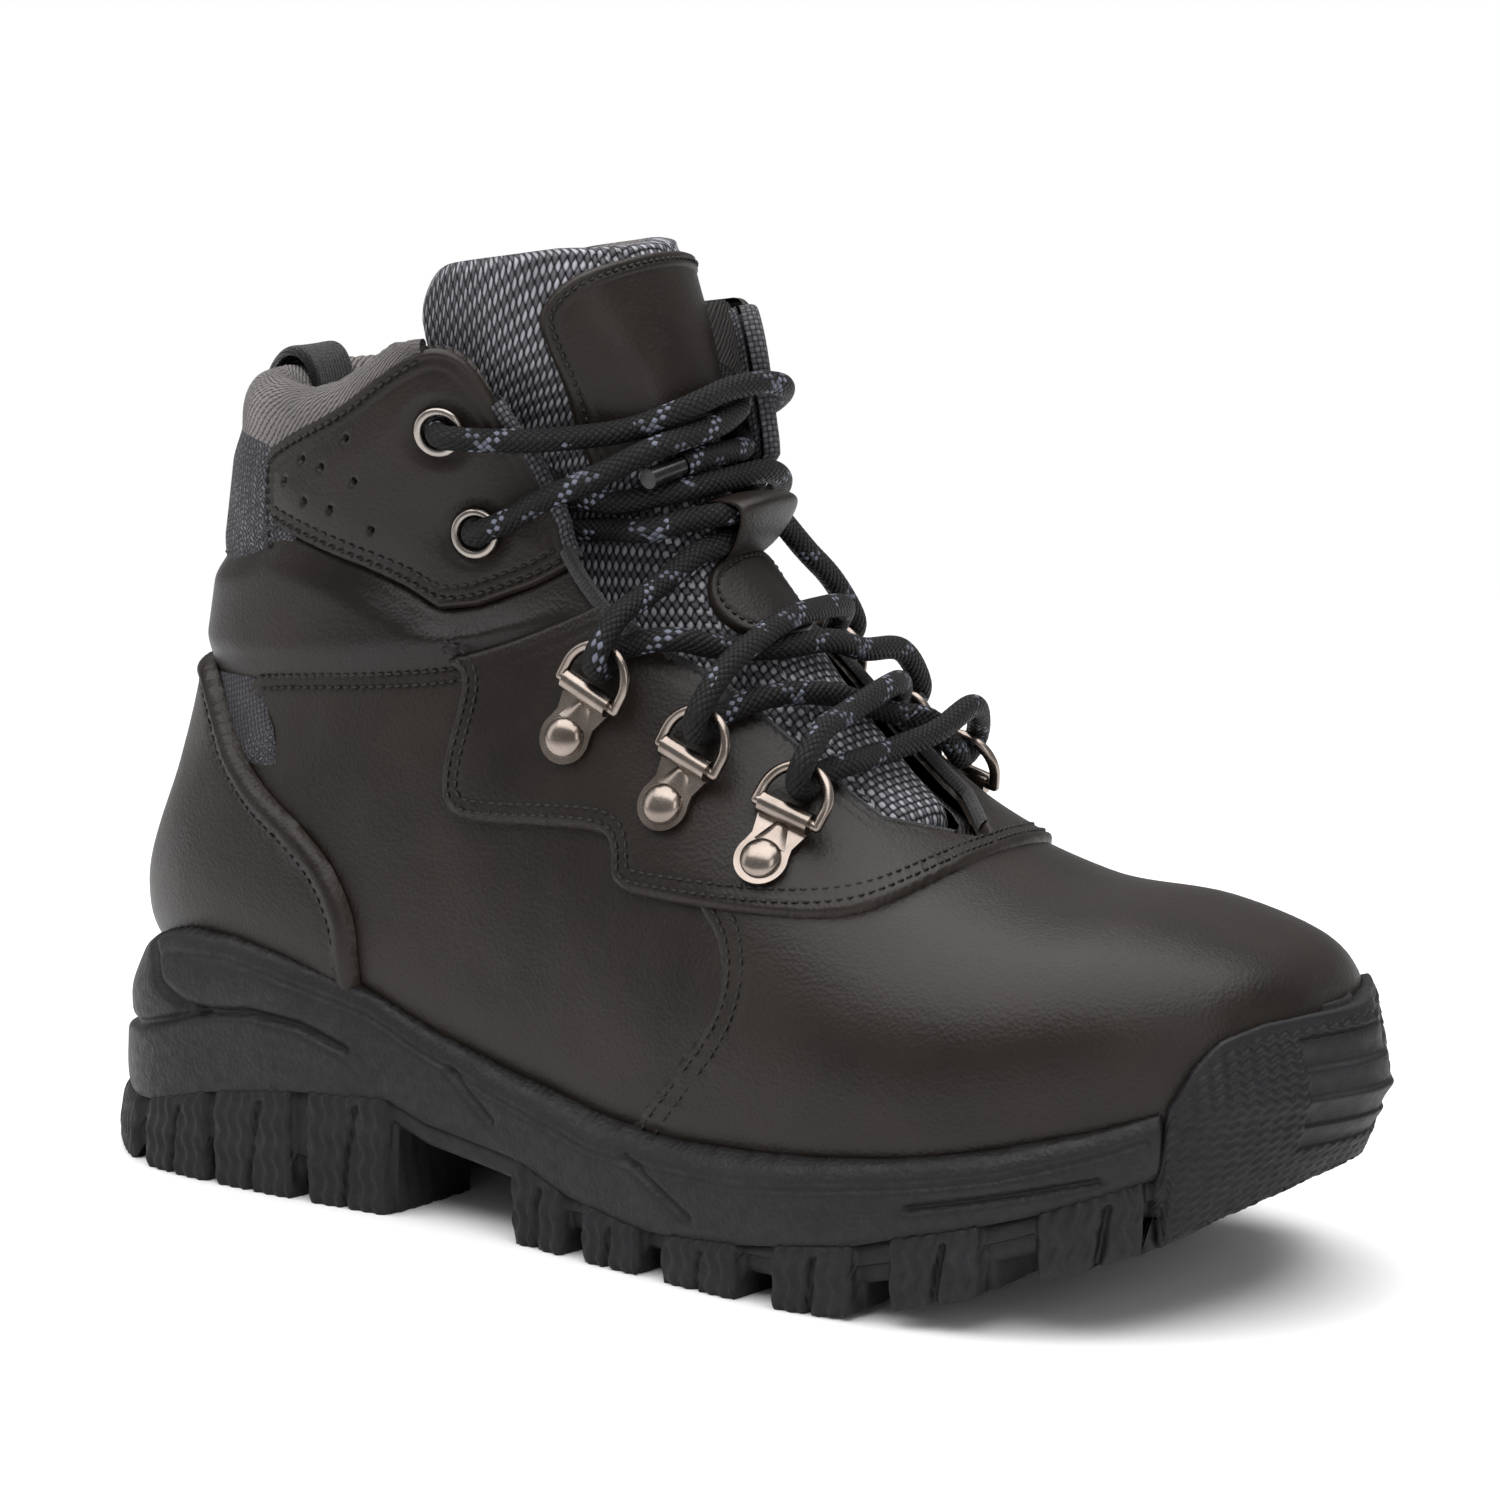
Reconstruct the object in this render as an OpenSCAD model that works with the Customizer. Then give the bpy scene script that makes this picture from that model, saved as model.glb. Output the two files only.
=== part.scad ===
// Lace-up hiking boot, right foot, in millimetres.
// +X points to the toe, +Y to the inner (medial) side, +Z up. The origin is on the ground
// under the middle of the boot. Each module below is one separate piece of the boot.

/* [View] */
// Which piece to draw

/* [Upper] */
// Thickness of the outer leather
leather_t = 1.6; // [1.2:0.1:1.8]
// Thickness of the overlaid leather panels
overlay_t = 1.6; // [1.2:0.1:1.8]
// Thickness of the lining cloth
lining_t = 1.2; // [0.8:0.1:1.4]
// Extra depth of the collar padding
collar_pad = 3.8; // [2.5:0.1:4.5]
// Thickness of the tongue padding in the middle
tongue_pad = 6; // [4:0.5:7]
// Diameter of the small holes in the cuff
perf_d = 1.6; // [1:0.1:2]

/* [Sole] */
// Thickness of the removable footbed
footbed_t = 4; // [3:0.5:5]
// Thickness of the insole board
board_t = 1.6; // [1.2:0.1:1.8]
// How far the recessed tread stands back from the lugs, upwards
tread_recess = 4.5; // [3:0.5:5.5]
// How far the recessed tread stands back from the lugs, sideways
tread_inset = 2.5; // [1.5:0.5:3.5]

/* [Hardware] */
// Wire diameter of the lace rings
wire_d = 1.8; // [1.6:0.1:2]
// Radial clearance of the ring bar in its curl
ring_clear = 0.08; // [0.05:0.01:0.1]
// Sheet thickness of the ring plates
plate_t = 0.8; // [0.6:0.1:1]
// Hole radius of the eyelets
eyelet_r = 2.6; // [2.4:0.1:2.7]

/* [Lace] */
// Diameter of the lace
lace_d = 4; // [3.6:0.1:4.2]
// Length of the stiff tip at each end of the lace
aglet_l = 8; // [6:1:10]

/* [Hidden] */
gap = 0.3;
aglet_d = 3.4;
shift_x = 3;

// ---- shape of the upper ----
// One row per section, from the toe to above the collar. Each section is a closed curve in
// the plane through a top (front) point and a bottom (back) point:
// [top x, top z, bottom x, bottom z, lateral half width, medial half width,
//  where the widest place is, roundness of the top half, roundness of the bottom half]
SECTIONS = [
    [111, 43, 112, 33, 4, 11, 0.5, 2.2, 2],
    [108, 51.5, 109, 31, 12, 20.5, 0.62, 2.4, 3],
    [100.5, 57, 101.5, 29, 24.5, 30, 0.65, 2.7, 4],
    [84, 61, 84, 26, 36, 37, 0.68, 2.6, 4.5],
    [62, 63, 60, 21, 43, 43, 0.7, 2.3, 4.5],
    [42, 71, 34, 18, 43, 43, 0.72, 2.2, 4.5],
    [27, 84, 6, 18, 40, 40, 0.74, 2.1, 4.5],
    [14, 100, -24, 22, 36, 36, 0.74, 2.1, 4],
    [3, 114, -60, 28, 34, 34, 0.7, 2.1, 3.4],
    [-1.5, 125, -99, 33, 32, 32, 0.62, 2.1, 2.8],
    [-2.5, 132, -111, 43, 30, 30, 0.55, 2.1, 2.3],
    [-4, 139, -105, 64, 29, 29, 0.53, 2.1, 2.1],
    [-6.5, 146, -97.5, 86, 31, 31, 0.52, 2.1, 2.1],
    [-10, 154, -92.5, 108, 33, 33, 0.5, 2.1, 2.1],
    [-14, 163, -88, 130, 35, 35, 0.5, 2.1, 2.1],
    [-18, 172, -86, 152, 36, 36, 0.5, 2.1, 2.1]
];
// Angle of the throat edge from the top line of each section, on the lateral side, and on
// the medial side, where the ankle flap reaches further round and stands up
THROAT = [[4.6, 0], [5.2, 16], [6.2, 22], [6.8, 27], [7.4, 33], [8.2, 38], [9.6, 41],
          [11.4, 50], [12.7, 57], [15, 62]];
THROAT_MEDIAL = [[4.6, 0], [5.2, 16], [6.2, 22], [6.8, 27], [7.4, 33], [8, 33], [9, 23],
                 [13, 22], [15, 26]];
flap_lift = 8;
// 0 on the lateral side, 1 while the mirrored medial side is drawn
$side = 0;
throat_end = 5.1;

function blend(a, b, c, d, t) =
    0.5 * (2 * b + (c - a) * t + (2 * a - 5 * b + 4 * c - d) * t * t
           + (3 * b - a - 3 * c + d) * t * t * t);
function pick(list, i) = list[max(0, min(len(list) - 1, i))];
function open_at(list, s) =
    let (i = max(0, min(len(list) - 2, floor(s))), t = s - i)
    blend(pick(list, i - 1), pick(list, i), pick(list, i + 1), pick(list, i + 2), t);
function open_curve(list, m) =
    [for (i = [0 : (len(list) - 1) * m]) open_at(list, i / m)];
function closed_curve(list, m) =
    let (n = len(list))
    [for (i = [0 : n - 1]) for (j = [0 : m - 1])
        blend(list[(i + n - 1) % n], list[i], list[(i + 1) % n], list[(i + 2) % n], j / m)];
function ease(t) = let (c = max(0, min(1, t))) c * c * (3 - 2 * c);
function unit(v) = v / norm(v);

function oval(row, a) =
    let (lateral = a <= 180,
         th = lateral ? a : 360 - a,
         w = lateral == ($side == 0) ? row[4] : row[5],
         c = cos(th),
         e = c >= 0 ? 2 / row[7] : 2 / row[8],
         q = c >= 0 ? row[6] * (1 - pow(c, e)) : row[6] + (1 - row[6]) * pow(-c, e),
         y = w * pow(abs(sin(th)), e))
    [row[0] + (row[2] - row[0]) * q, lateral ? -y : y, row[1] + (row[3] - row[1]) * q];
// Point on the upper at section s and angle a, moved outwards by d
function skin(s, a, d) =
    let (row = open_at(SECTIONS, s),
         p = oval(row, a),
         along = oval(open_at(SECTIONS, min(15, s + 0.05)), a)
               - oval(open_at(SECTIONS, max(0, s - 0.05)), a),
         around = oval(row, (a + 1.5) % 360) - oval(row, (a + 358.5) % 360),
         n = unit(cross(along, around)))
    p + n * d;
function mirrored(p) = [p[0], -p[1], p[2]];

opening = function(s) lookup(s, THROAT);
throat = function(s) $side == 0 ? opening(s) : lookup(s, THROAT_MEDIAL);
function lift(s, a) =
    $side == 0 ? 0 : flap_lift * ease((s - 8.2) / 1.2) * ease((60 - a) / 34);
// Depth of the lining's outer face below the leather's outer face
function lining_depth(s, a) =
    let (z = oval(open_at(SECTIONS, s), a)[2],
         side = s < 5 ? 1 : ease((min(a, 360 - a) - opening(s) - 16) / 24))
    leather_t + 0.6 + 0.03 * lift(s, a) + side * (1.9 + collar_pad * ease((z - 72) / 33));
// Depth of the tongue's outer face
function tongue_depth(s, a) =
    let (t = a / opening(s), deep = lookup(s, [[6, 4.6], [8.5, 9.5]]))
    1 + (deep - 1) * ease((t - 0.35) / 0.9);

// ---- builders ----
// Colours a piece and moves it so that the origin is under the middle of the boot
module piece(c) {
    color(c)
        translate([shift_x, 0, 0])
            children();
}
// Closed solid through a list of rings with equal numbers of points
module loft(rings) {
    n = len(rings[0]);
    m = len(rings);
    polyhedron(
        points = [for (r = rings) each r],
        faces = concat(
            [for (i = [0 : m - 2]) for (j = [0 : n - 1]) each
                let (a = i * n + j, b = i * n + (j + 1) % n)
                [[a, b, b + n], [a, b + n, a + n]]],
            [[for (j = [n - 1 : -1 : 0]) j]],
            [[for (j = [0 : n - 1]) (m - 1) * n + j]]),
        convexity = 8);
}
// Closed sheet between two grids of points, outer and inner
module slab(outer, inner) {
    m = len(outer);
    n = len(outer[0]);
    k = m * n;
    polyhedron(
        points = concat([for (r = outer) each r], [for (r = inner) each r]),
        faces = concat(
            [for (i = [0 : m - 2]) for (j = [0 : n - 2]) each
                let (a = i * n + j, b = a + 1, c = a + n, d = c + 1)
                [[a, b, d], [a, d, c], [a + k, d + k, b + k], [a + k, c + k, d + k]]],
            [for (i = [0 : m - 2]) each
                let (a = i * n, c = a + n, b = a + n - 1, d = b + n)
                [[a, c, c + k], [a, c + k, a + k], [b, d + k, d], [b, b + k, d + k]]],
            [for (j = [0 : n - 2]) each
                let (a = j, b = j + 1, c = (m - 1) * n + j, d = c + 1)
                [[a, b + k, b], [a, a + k, b + k], [c, d, d + k], [c, d + k, c + k]]]),
        convexity = 8);
}
// Sheet of the upper over rows [section, first angle, last angle]
module sheet(rows, n, outer_d, inner_d) {
    slab(
        [for (r = rows) [for (j = [0 : n]) let (a = r[1] + (r[2] - r[1]) * j / n)
            skin(r[0], a, outer_d(r[0], a))]],
        [for (r = rows) [for (j = [0 : n]) let (a = r[1] + (r[2] - r[1]) * j / n)
            skin(r[0], a, inner_d(r[0], a))]]);
}
// Side-view outline standing across the lateral half, less some other outlines
module side_cut(outline, minus = []) {
    translate([0, 1, 0])
        rotate([90, 0, 0])
            linear_extrude(80)
                difference() {
                    polygon(outline);
                    for (m = minus)
                        offset(delta = gap)
                            polygon(m);
                }
}
// The lateral half of a layer over sections s0 to s1, open at the throat
module half_layer(outer_d, inner_d, s0, s1, per = 2, n = 18, edge = 0) {
    front = ceil((throat_end - s0) * per);
    back = ceil((s1 - max(s0, throat_end)) * per);
    low = max(s0, throat_end);
    if (s0 < throat_end)
        sheet([for (i = [0 : front]) [s0 + (throat_end - s0) * i / front, 0, 180]],
              n, outer_d, inner_d);
    if (s1 > throat_end)
        sheet([for (i = [0 : back])
                  let (s = low + (s1 - low) * i / back) [s, throat(s) + edge, 180]],
              n, outer_d, inner_d);
}
// A layer cut to a side-view outline; resize keeps the size and makes one clean mesh
module panel(outline, minus, outer_d, inner_d, s0 = 0, s1 = 15, per = 2, n = 18, edge = 0) {
    intersection() {
        half_layer(outer_d, inner_d, s0, s1, per, n, edge);
        side_cut(outline, minus);
    }
}
module medial_side() {
    $side = 1;
    mirror([0, 1, 0])
        children();
}
module both_sides() {
    children();
    medial_side()
        children();
}
// Solid inside the upper's surface moved by d, a function of section and angle
module upper_solid(d, s0 = 0, s1 = 11, per = 2, n = 32) {
    steps = (s1 - s0) * per;
    loft([for (i = [0 : steps]) let (s = s0 + (s1 - s0) * i / steps)
        [for (j = [0 : n - 1]) skin(s, j * 360 / n, d(s, j * 360 / n))]]);
}

// ---- side-view outlines of the upper, as [x, z] ----
VAMP = [[-3, 8], [5, 21], [16, 34], [23, 43], [24.5, 50], [22, 56], [15, 62], [20, 68],
        [34, 76], [40, 90], [130, 90], [130, 8]];
QUARTER = [[-90, 8], [-90, 40], [-86, 60], [-80, 76], [-75, 89], [-69, 90], [-54, 91.5],
           [-36, 93.5], [-25, 96.5], [-8, 104.5], [4, 114], [45, 100], [45, 8]];
MESH_BACK = [[-130, 8], [-130, 90], [-75, 90], [-70, 8]];
BAND = [[-130, 88], [-60, 88], [4, 104], [4, 124], [-10, 113], [-15, 110], [-20, 107],
        [-30, 103], [-37, 102], [-43, 105], [-51, 108], [-60, 111], [-69, 114], [-74, 111],
        [-86, 108], [-130, 107]];
CUFF_BACK = [[-71, 108], [-71, 120], [-70, 126], [-65, 129], [-52, 135], [-44, 141],
             [-38, 144.5]];
CUFF_FRONT = [[-34, 145.2], [-31, 144], [-28.5, 141], [-26, 136], [0, 128], [0, 100]];
CUFF_FRONT_MEDIAL = [[-30, 147.5], [-20, 149.5], [-10, 149.5], [-5, 148], [20, 135], [20, 100]];
BACK = [[-130, 104], [-66, 104], [-66, 128.5], [-75, 130.5], [-130, 131]];
TRIM = [[-130, 129], [-75, 129], [-67, 127], [-52, 133], [-44, 139], [-39.5, 144],
        [-42, 144.4], [-48, 140.5], [-55, 137], [-62, 135.5], [-70, 136.5], [-77, 137],
        [-130, 136]];
LINING_BACK = [[130, 70], [130, 5], [-130, 5], [-130, 129], [-75, 129], [-67, 127],
               [-52, 133], [-44, 139], [-39.5, 144]];
FOAM = [[-130, 92], [-130, 130], [-75, 130], [-67, 128], [-52, 133], [-46, 137], [-44, 120],
        [-44, 92]];
STIFFENER = [[-130, 36], [-130, 80], [-98, 78], [-72, 62], [-58, 44], [-54, 36]];
PUFF = [[70, 33], [77, 75], [130, 75], [130, 33]];
COUNTER = [[-130, 34], [-130, 88.3], [-92, 88], [-87, 87.5], [-79, 76.5], [-72, 70], [-62, 64],
           [-56, 59], [-51.5, 52], [-50, 46], [-50.5, 34]];
FACING = [[-36, 94], [-30.5, 92], [-31.5, 85], [-33, 78], [-33, 72.5], [-31, 69.5],
          [-27, 68.3], [-10, 69.3], [-1.5, 69.3], [0.5, 67], [1, 62.5], [3.5, 60.6], [8, 60.2],
          [20, 59.6], [36, 59.3], [44, 60.2], [49, 62.5], [53.5, 66], [56, 75], [45, 90],
          [-4, 110], [-8, 104.5], [-25, 96.8]];
TONGUE = [[60, 60], [-60, 60], [-60, 144], [-47.5, 146], [-47, 150], [-43.5, 154],
          [-36, 157.5], [-25, 160.5], [-14, 163], [60, 164]];
PERFS = [[-51, 130], [-60, 126], [-56, 125], [-64, 122], [-60, 119], [-50, 123], [-55, 118],
         [-48, 115]];

// ---- sole ----
// [x, lateral y, medial y] around the widest line of the sole
PLAN = [[-121.5, 1, 3], [-119, -9.5, 11], [-113, -19.5, 19.5], [-98, -31, 28.5], [-70, -35, 32],
        [-30, -36, 32], [5, -42, 38], [40, -47, 45], [70, -44.5, 45.5], [90, -36.5, 40.5],
        [102, -25, 32], [110, -11, 22.5], [114, 0, 15.5], [115.5, 6, 10]];
// Height of the midsole's top edge, of the tread's top and of the lug faces, along x
TOP_EDGE = [[-120, 34], [-110, 36.5], [-100, 40], [-90, 42], [-78, 42.5], [-67, 41], [-47, 36.5], [-37, 32], [-22, 27],
            [0, 21.5], [15, 20.7], [30, 21], [43, 22.5], [62, 25.3], [76, 28], [90, 32],
            [98, 35], [101, 42], [104, 47.5], [108, 50], [118, 51]];
TREAD_TOP = [[-120, 10], [-99, 12], [-82, 16], [-63, 18.8], [-44, 20], [-36, 17], [-26, 15.5],
             [-17, 14.3], [-6, 10.4], [10, 7.8], [16, 7.8], [31, 9], [52, 12], [59, 14],
             [73, 17.5], [82, 20], [96, 25], [118, 31]];
LUG_FACE = [[-120, 1.5], [-112, 0], [45, 0], [52, 1], [59, 2.6], [73, 6.5], [82, 9.4],
            [96, 14], [101, 16], [109, 19], [118, 23]];
BUMPER = [[97, 0], [98, 25], [99, 36], [101.5, 42], [104, 47.5], [106, 60], [130, 60], [130, 0]];
// Bottom of the upper along x
FEATHER = [[-107, 44], [-92, 32], [-60, 28], [-24, 22], [6, 18], [34, 18], [60, 21], [84, 26],
           [101, 29], [113, 33]];
// The x ranges of the lugs
LUGS = [[-125, -103], [-99, -83], [-81, -64], [-60.5, -44], [-17, -6], [-1.5, 10.5],
        [16, 31], [38, 52.5], [59, 73.5], [82, 96]];
lug_reach = 22;

// The sole leans in towards its top at the heel, and at the toe above and below its middle
function lean(x, z) =
    x + 8 * (z / 40) * max(0, (-85 - x) / 34) - 5 * abs(z - 35) / 16 * max(0, (x - 95) / 22);
function sole_row(i) = open_at(PLAN, i);
// A slice of the sole between two height lines, drawn in from the widest line by inset
module sole_slice(low, high, inset = 0, i0 = 0, i1 = 13, per = 3) {
    loft([for (i = [i0 * per : i1 * per])
        let (r = sole_row(i / per),
             l = min(r[1] + inset, r[2] - 1), m = max(r[2] - inset, l + 1),
             zl = low(r[0]), zh = high(r[0]), zm = (zl + zh) / 2,
             flare = min(1, (zh - zl) / 20))
        [[lean(r[0], zl), l + flare, zl], [lean(r[0], zm), l, zm],
         [lean(r[0], zh), l + flare, zh], [lean(r[0], zh), m - flare, zh],
         [lean(r[0], zm), m, zm], [lean(r[0], zl), m - flare, zl]]]);
}
feather = function(x) lookup(x, FEATHER);
lug_face = function(x) lookup(x, LUG_FACE);
tread_top = function(x) lookup(x, TREAD_TOP);
top_edge = function(x) lookup(x, TOP_EDGE);
function tread_floor(x) =
    x > -44 && x < -17 ? max(lug_face(x) + tread_recess, tread_top(x) - 4)
                       : lug_face(x) + tread_recess;

skin_out = function(s, a) lift(s, a);
skin_in = function(s, a) lift(s, a) - leather_t;
over_out = function(s, a) lift(s, a) + 0.3 + overlay_t;
over_in = function(s, a) lift(s, a) + 0.4;
lining_out = function(s, a) lift(s - 0.19, a) - lining_depth(s, a);
lining_in = function(s, a) 1.08 * lift(s - 0.19, a) - lining_depth(s, a) - lining_t;
cup_d = function(s, a) gap + (overlay_t + 0.3) * ease((-41 - skin(s, a, 0)[0]) / 4);

// ---- hardware places ----
// Rivets of the ring plates, three on the lateral side and then three for the medial side,
// which is mirrored, and the turn that lays local X from the rivet to the ring, local Y
// along the curl and local Z away from the boot
RIVETS = [[-9.6, -31.4, 83.8], [9.4, -31.9, 74.8], [27.6, -32, 67.8],
          [-0.2, -31.2, 80.4], [13.2, -33.4, 70.3], [26.5, -34.9, 64.3]];
RIVET_TURN = [[59, -59, 35], [44, -57, 48], [28, -48, 71],
              [52, -57, 42], [40, -55, 52], [27, -51, 67]];
// Eyelets on the lateral side, upper and lower, then on the mirrored medial side: middle on
// the leather, and outward direction
EYELETS = [[-35.1, -29.5, 131.6], [-30.6, -25.7, 114.8], [-10.6, -22.8, 130.8],
           [-11.3, -24.3, 115.4]];
EYELET_DIR = [[0.34, -0.93, -0.14], [0.23, -0.97, 0.06], [0.21, -0.98, 0.06],
              [0.47, -0.84, -0.27]];
curl_x = 8.2;
curl_half = 4.6;
ring_r = 5.7;
ring_leg = 2.4;
ring_tilt = 10;
curl_r = wire_d / 2 + ring_clear + plate_t;
lace_loop = 3.7;

function turned(p, r) =
    let (a = [p[0], p[1] * cos(r[0]) - p[2] * sin(r[0]), p[1] * sin(r[0]) + p[2] * cos(r[0])],
         b = [a[0] * cos(r[1]) + a[2] * sin(r[1]), a[1], a[2] * cos(r[1]) - a[0] * sin(r[1])])
    [b[0] * cos(r[2]) - b[1] * sin(r[2]), b[0] * sin(r[2]) + b[1] * cos(r[2]), b[2]];
function at_plate(k, p) = RIVETS[k] + turned(p, RIVET_TURN[k]);
// Place of the lace around the far side of ring k: a is 0 over the ring, 90 in it, 180 under it
function at_ring(k, a) =
    let (reach = ring_leg + ring_r,
         t = [cos(ring_tilt), 0, sin(ring_tilt)],
         n = [-sin(ring_tilt), 0, cos(ring_tilt)])
    at_plate(k, [curl_x, 0, curl_r] + t * (reach - lace_loop * sin(a)) + n * lace_loop * cos(a));
// The lace through a ring, from over it to under it or the other way, and through an eyelet
function lace_ring(k, over) =
    [for (a = over ? [0, 60, 120, 180] : [180, 120, 60, 0])
        k > 2 ? mirrored(at_ring(k, a)) : at_ring(k, a)];
function lace_eyelet(k, inward) =
    [for (d = inward ? [1.5, -6] : [-6, 1.5])
        let (p = EYELETS[k] + d * EYELET_DIR[k]) k > 1 ? mirrored(p) : p];

module on_plate(k) {
    translate(RIVETS[k])
        rotate(RIVET_TURN[k])
            children();
}
module on_eyelet(k) {
    v = EYELET_DIR[k];
    translate(EYELETS[k])
        rotate([0, acos(v[2]), atan2(v[1], v[0])])
            children();
}
module rivet_holes(first, r = 1.65, sides = 20) {
    for (k = [first : first + 2])
        on_plate(k)
            translate([0, 0, -6])
                cylinder(r = r, h = 8, $fn = sides);
}
module all_rivet_holes() {
    rivet_holes(0);
    mirror([0, 1, 0])
        rivet_holes(3);
}
module eyelet_holes(first, r = eyelet_r + 0.65, sides = 24) {
    for (k = [first, first + 1])
        on_eyelet(k)
            translate([0, 0, -5])
                cylinder(r = r, h = 9, $fn = sides);
}

// ---- the lace's way between the rings and eyelets, from one end to the other ----
FREE_END = [[-1.5, -9.5, 126], [-0.5, -4, 127], [-0.5, 3, 127],
            [-2, 10.5, 127], [-6, 14.5, 128.5]];
TOP_CROSSING = [[-8.5, 26.5, 131.5], [-2.5, 23, 134.5], [2, 16, 137], [2, 9, 138],
                [0.5, 1.5, 137.5], [-0.5, -5.5, 136], [-3.5, -11, 134], [-8, -15.5, 132],
                [-13.5, -19.5, 131], [-19, -24, 130.5], [-25, -28.5, 130.5], [-31, -33, 131]];
SECOND_CROSSING = [[-29, -19, 127.5], [-19, -15.5, 121], [-10.5, -15, 120], [-3.5, -12.5, 121.5],
                   [0.5, -6, 122.5], [1.5, 1.5, 123], [3, 9.5, 123.5], [1.5, 16.5, 121.5],
                   [-3, 23, 118.5], [-8, 27.5, 115.5]];
KEEPER_LOWER = [[-7.5, 14, 122.5], [-1, 10, 120.5], [2, 5.5, 118], [4, 0, 115.5],
                [4.5, -6, 113.5], [2.5, -11.5, 112], [1, -16.5, 109], [0, -22.5, 106.5],
                [-1, -29, 104]];
RING_1_TO_2 = [[5, -23.5, 100], [10.5, -16, 98], [16.5, -8, 97.5], [19.5, 2.5, 97.5],
               [19.5, 13.5, 94.5], [20, 25, 93]];
RING_2_TO_3 = [[22.5, 20.5, 87], [26, 14, 89.5], [29, 6.5, 90.5], [30.5, -2.5, 90],
               [31, -11.5, 88.5], [32, -20.5, 87.5]];
BOTTOM_BAR = [[33, -14.5, 81], [33, -6.5, 81], [33.5, 2.5, 81.5], [34.5, 12, 82.5],
              [34.5, 23.5, 85]];
RING_3_TO_2 = [[30, 17.5, 83], [27.5, 10, 85], [25.5, 3, 87.5], [24, -4.5, 90],
               [22, -11.5, 91], [19.5, -18.5, 91]];
RING_2_TO_1 = [[17, -26, 96.5], [17.5, -17, 100], [17, -7, 102], [15.5, 5, 102], [13, 18, 100.5]];
KEEPER_UPPER = [[6.5, 25.5, 103.5], [6, 17.5, 109.5], [5.5, 10, 115.5], [7.5, 2, 118.5],
                [6.5, -5, 118.5], [1, -10.5, 117.5], [-4, -16.5, 116], [-12.5, -15, 115.5],
                [-22.5, -16.5, 114.5]];
LAST_CROSSING = [[-27.5, -29.5, 115.5], [-22.5, -27.5, 118], [-18, -25.5, 121],
                 [-12.5, -23.5, 123.5], [-8, -20.5, 126], [-3.5, -16, 129], [-1, -9.5, 130.5],
                 [0.5, -1.5, 132], [-0.5, 6.5, 134], [-5, 13, 136], [-10.5, 16.5, 138]];
LACE = concat(
    FREE_END, lace_eyelet(2, false), TOP_CROSSING, lace_eyelet(0, true),
    SECOND_CROSSING, lace_eyelet(3, true), KEEPER_LOWER, lace_ring(0, true),
    RING_1_TO_2, lace_ring(4, true), RING_2_TO_3, lace_ring(2, true),
    BOTTOM_BAR, lace_ring(5, true), RING_3_TO_2, lace_ring(1, false),
    RING_2_TO_1, lace_ring(3, false), KEEPER_UPPER, lace_eyelet(1, false), LAST_CROSSING);

// ---- soles and inside ----
module outsole() {
    piece("#28282c")
        resize([0, 0, 0])
            difference() {
                union() {
                    sole_slice(function(x) tread_floor(x), function(x) tread_top(x) - 0.05,
                               tread_inset);
                    intersection() {
                        sole_slice(lug_face, function(x) tread_top(x) - 0.05, -0.8);
                        lug_prisms();
                    }
                    intersection() {
                        sole_slice(lug_face, top_edge, -0.4, 8, 13);
                        side_wall(BUMPER);
                    }
                }
                upper_solid(cup_d, 0, 6);
            }
}
module lug_prisms() {
    for (r = LUGS)
        translate([r[0], 0, 0])
            for (side = [-1, 1])
                linear_extrude(40)
                    polygon(lug_outline(r, side));
    for (i = [0 : 5])
        linear_extrude(40)
            polygon([[-8 + 17 * i, -9], [0 + 17 * i, 0], [-8 + 17 * i, 9], [-1 + 17 * i, 12],
                     [8 + 17 * i, 0], [-1 + 17 * i, -12]]);
    for (i = [0 : 2])
        linear_extrude(40)
            polygon([[-104 + 20 * i, -6], [-98 + 20 * i, -8], [-90 + 20 * i, 0],
                     [-98 + 20 * i, 8], [-104 + 20 * i, 6], [-99 + 20 * i, 0]]);
}
// A lug as a block that reaches in from the sole's side, slanting a little to the toe
function lug_outline(r, side) =
    let (w = r[1] - r[0],
         edge = lookup((r[0] + r[1]) / 2, [[-115, 14], [-98, 30], [-70, 34], [-10, 38],
                                           [40, 46], [66, 45], [90, 36]]))
    [[0, side * 70], [w, side * 70], [w + 3, side * (edge - lug_reach)],
     [3, side * (edge - lug_reach)]];
module side_wall(outline) {
    translate([0, 75, 0])
        rotate([90, 0, 0])
            linear_extrude(150)
                polygon(outline);
}
module midsole() {
    piece("#262424")
        resize([0, 0, 0])
            difference() {
                sole_slice(tread_top, function(x) min(46, top_edge(x)));
                upper_solid(cup_d, 0, 11);
                side_wall([for (p = BUMPER) [p[0] - gap, p[1]]]);
            }
}
// A slab that follows the bottom of the upper, between two heights above it
module floor_slab(z0, z1, x0, x1, half) {
    steps = 20;
    loft([for (i = [0 : steps])
        let (x = x0 + (x1 - x0) * i / steps, f = feather(x))
        [[x, -half, f + z0], [x, -half, f + z1], [x, half, f + z1], [x, half, f + z0]]]);
}
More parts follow.
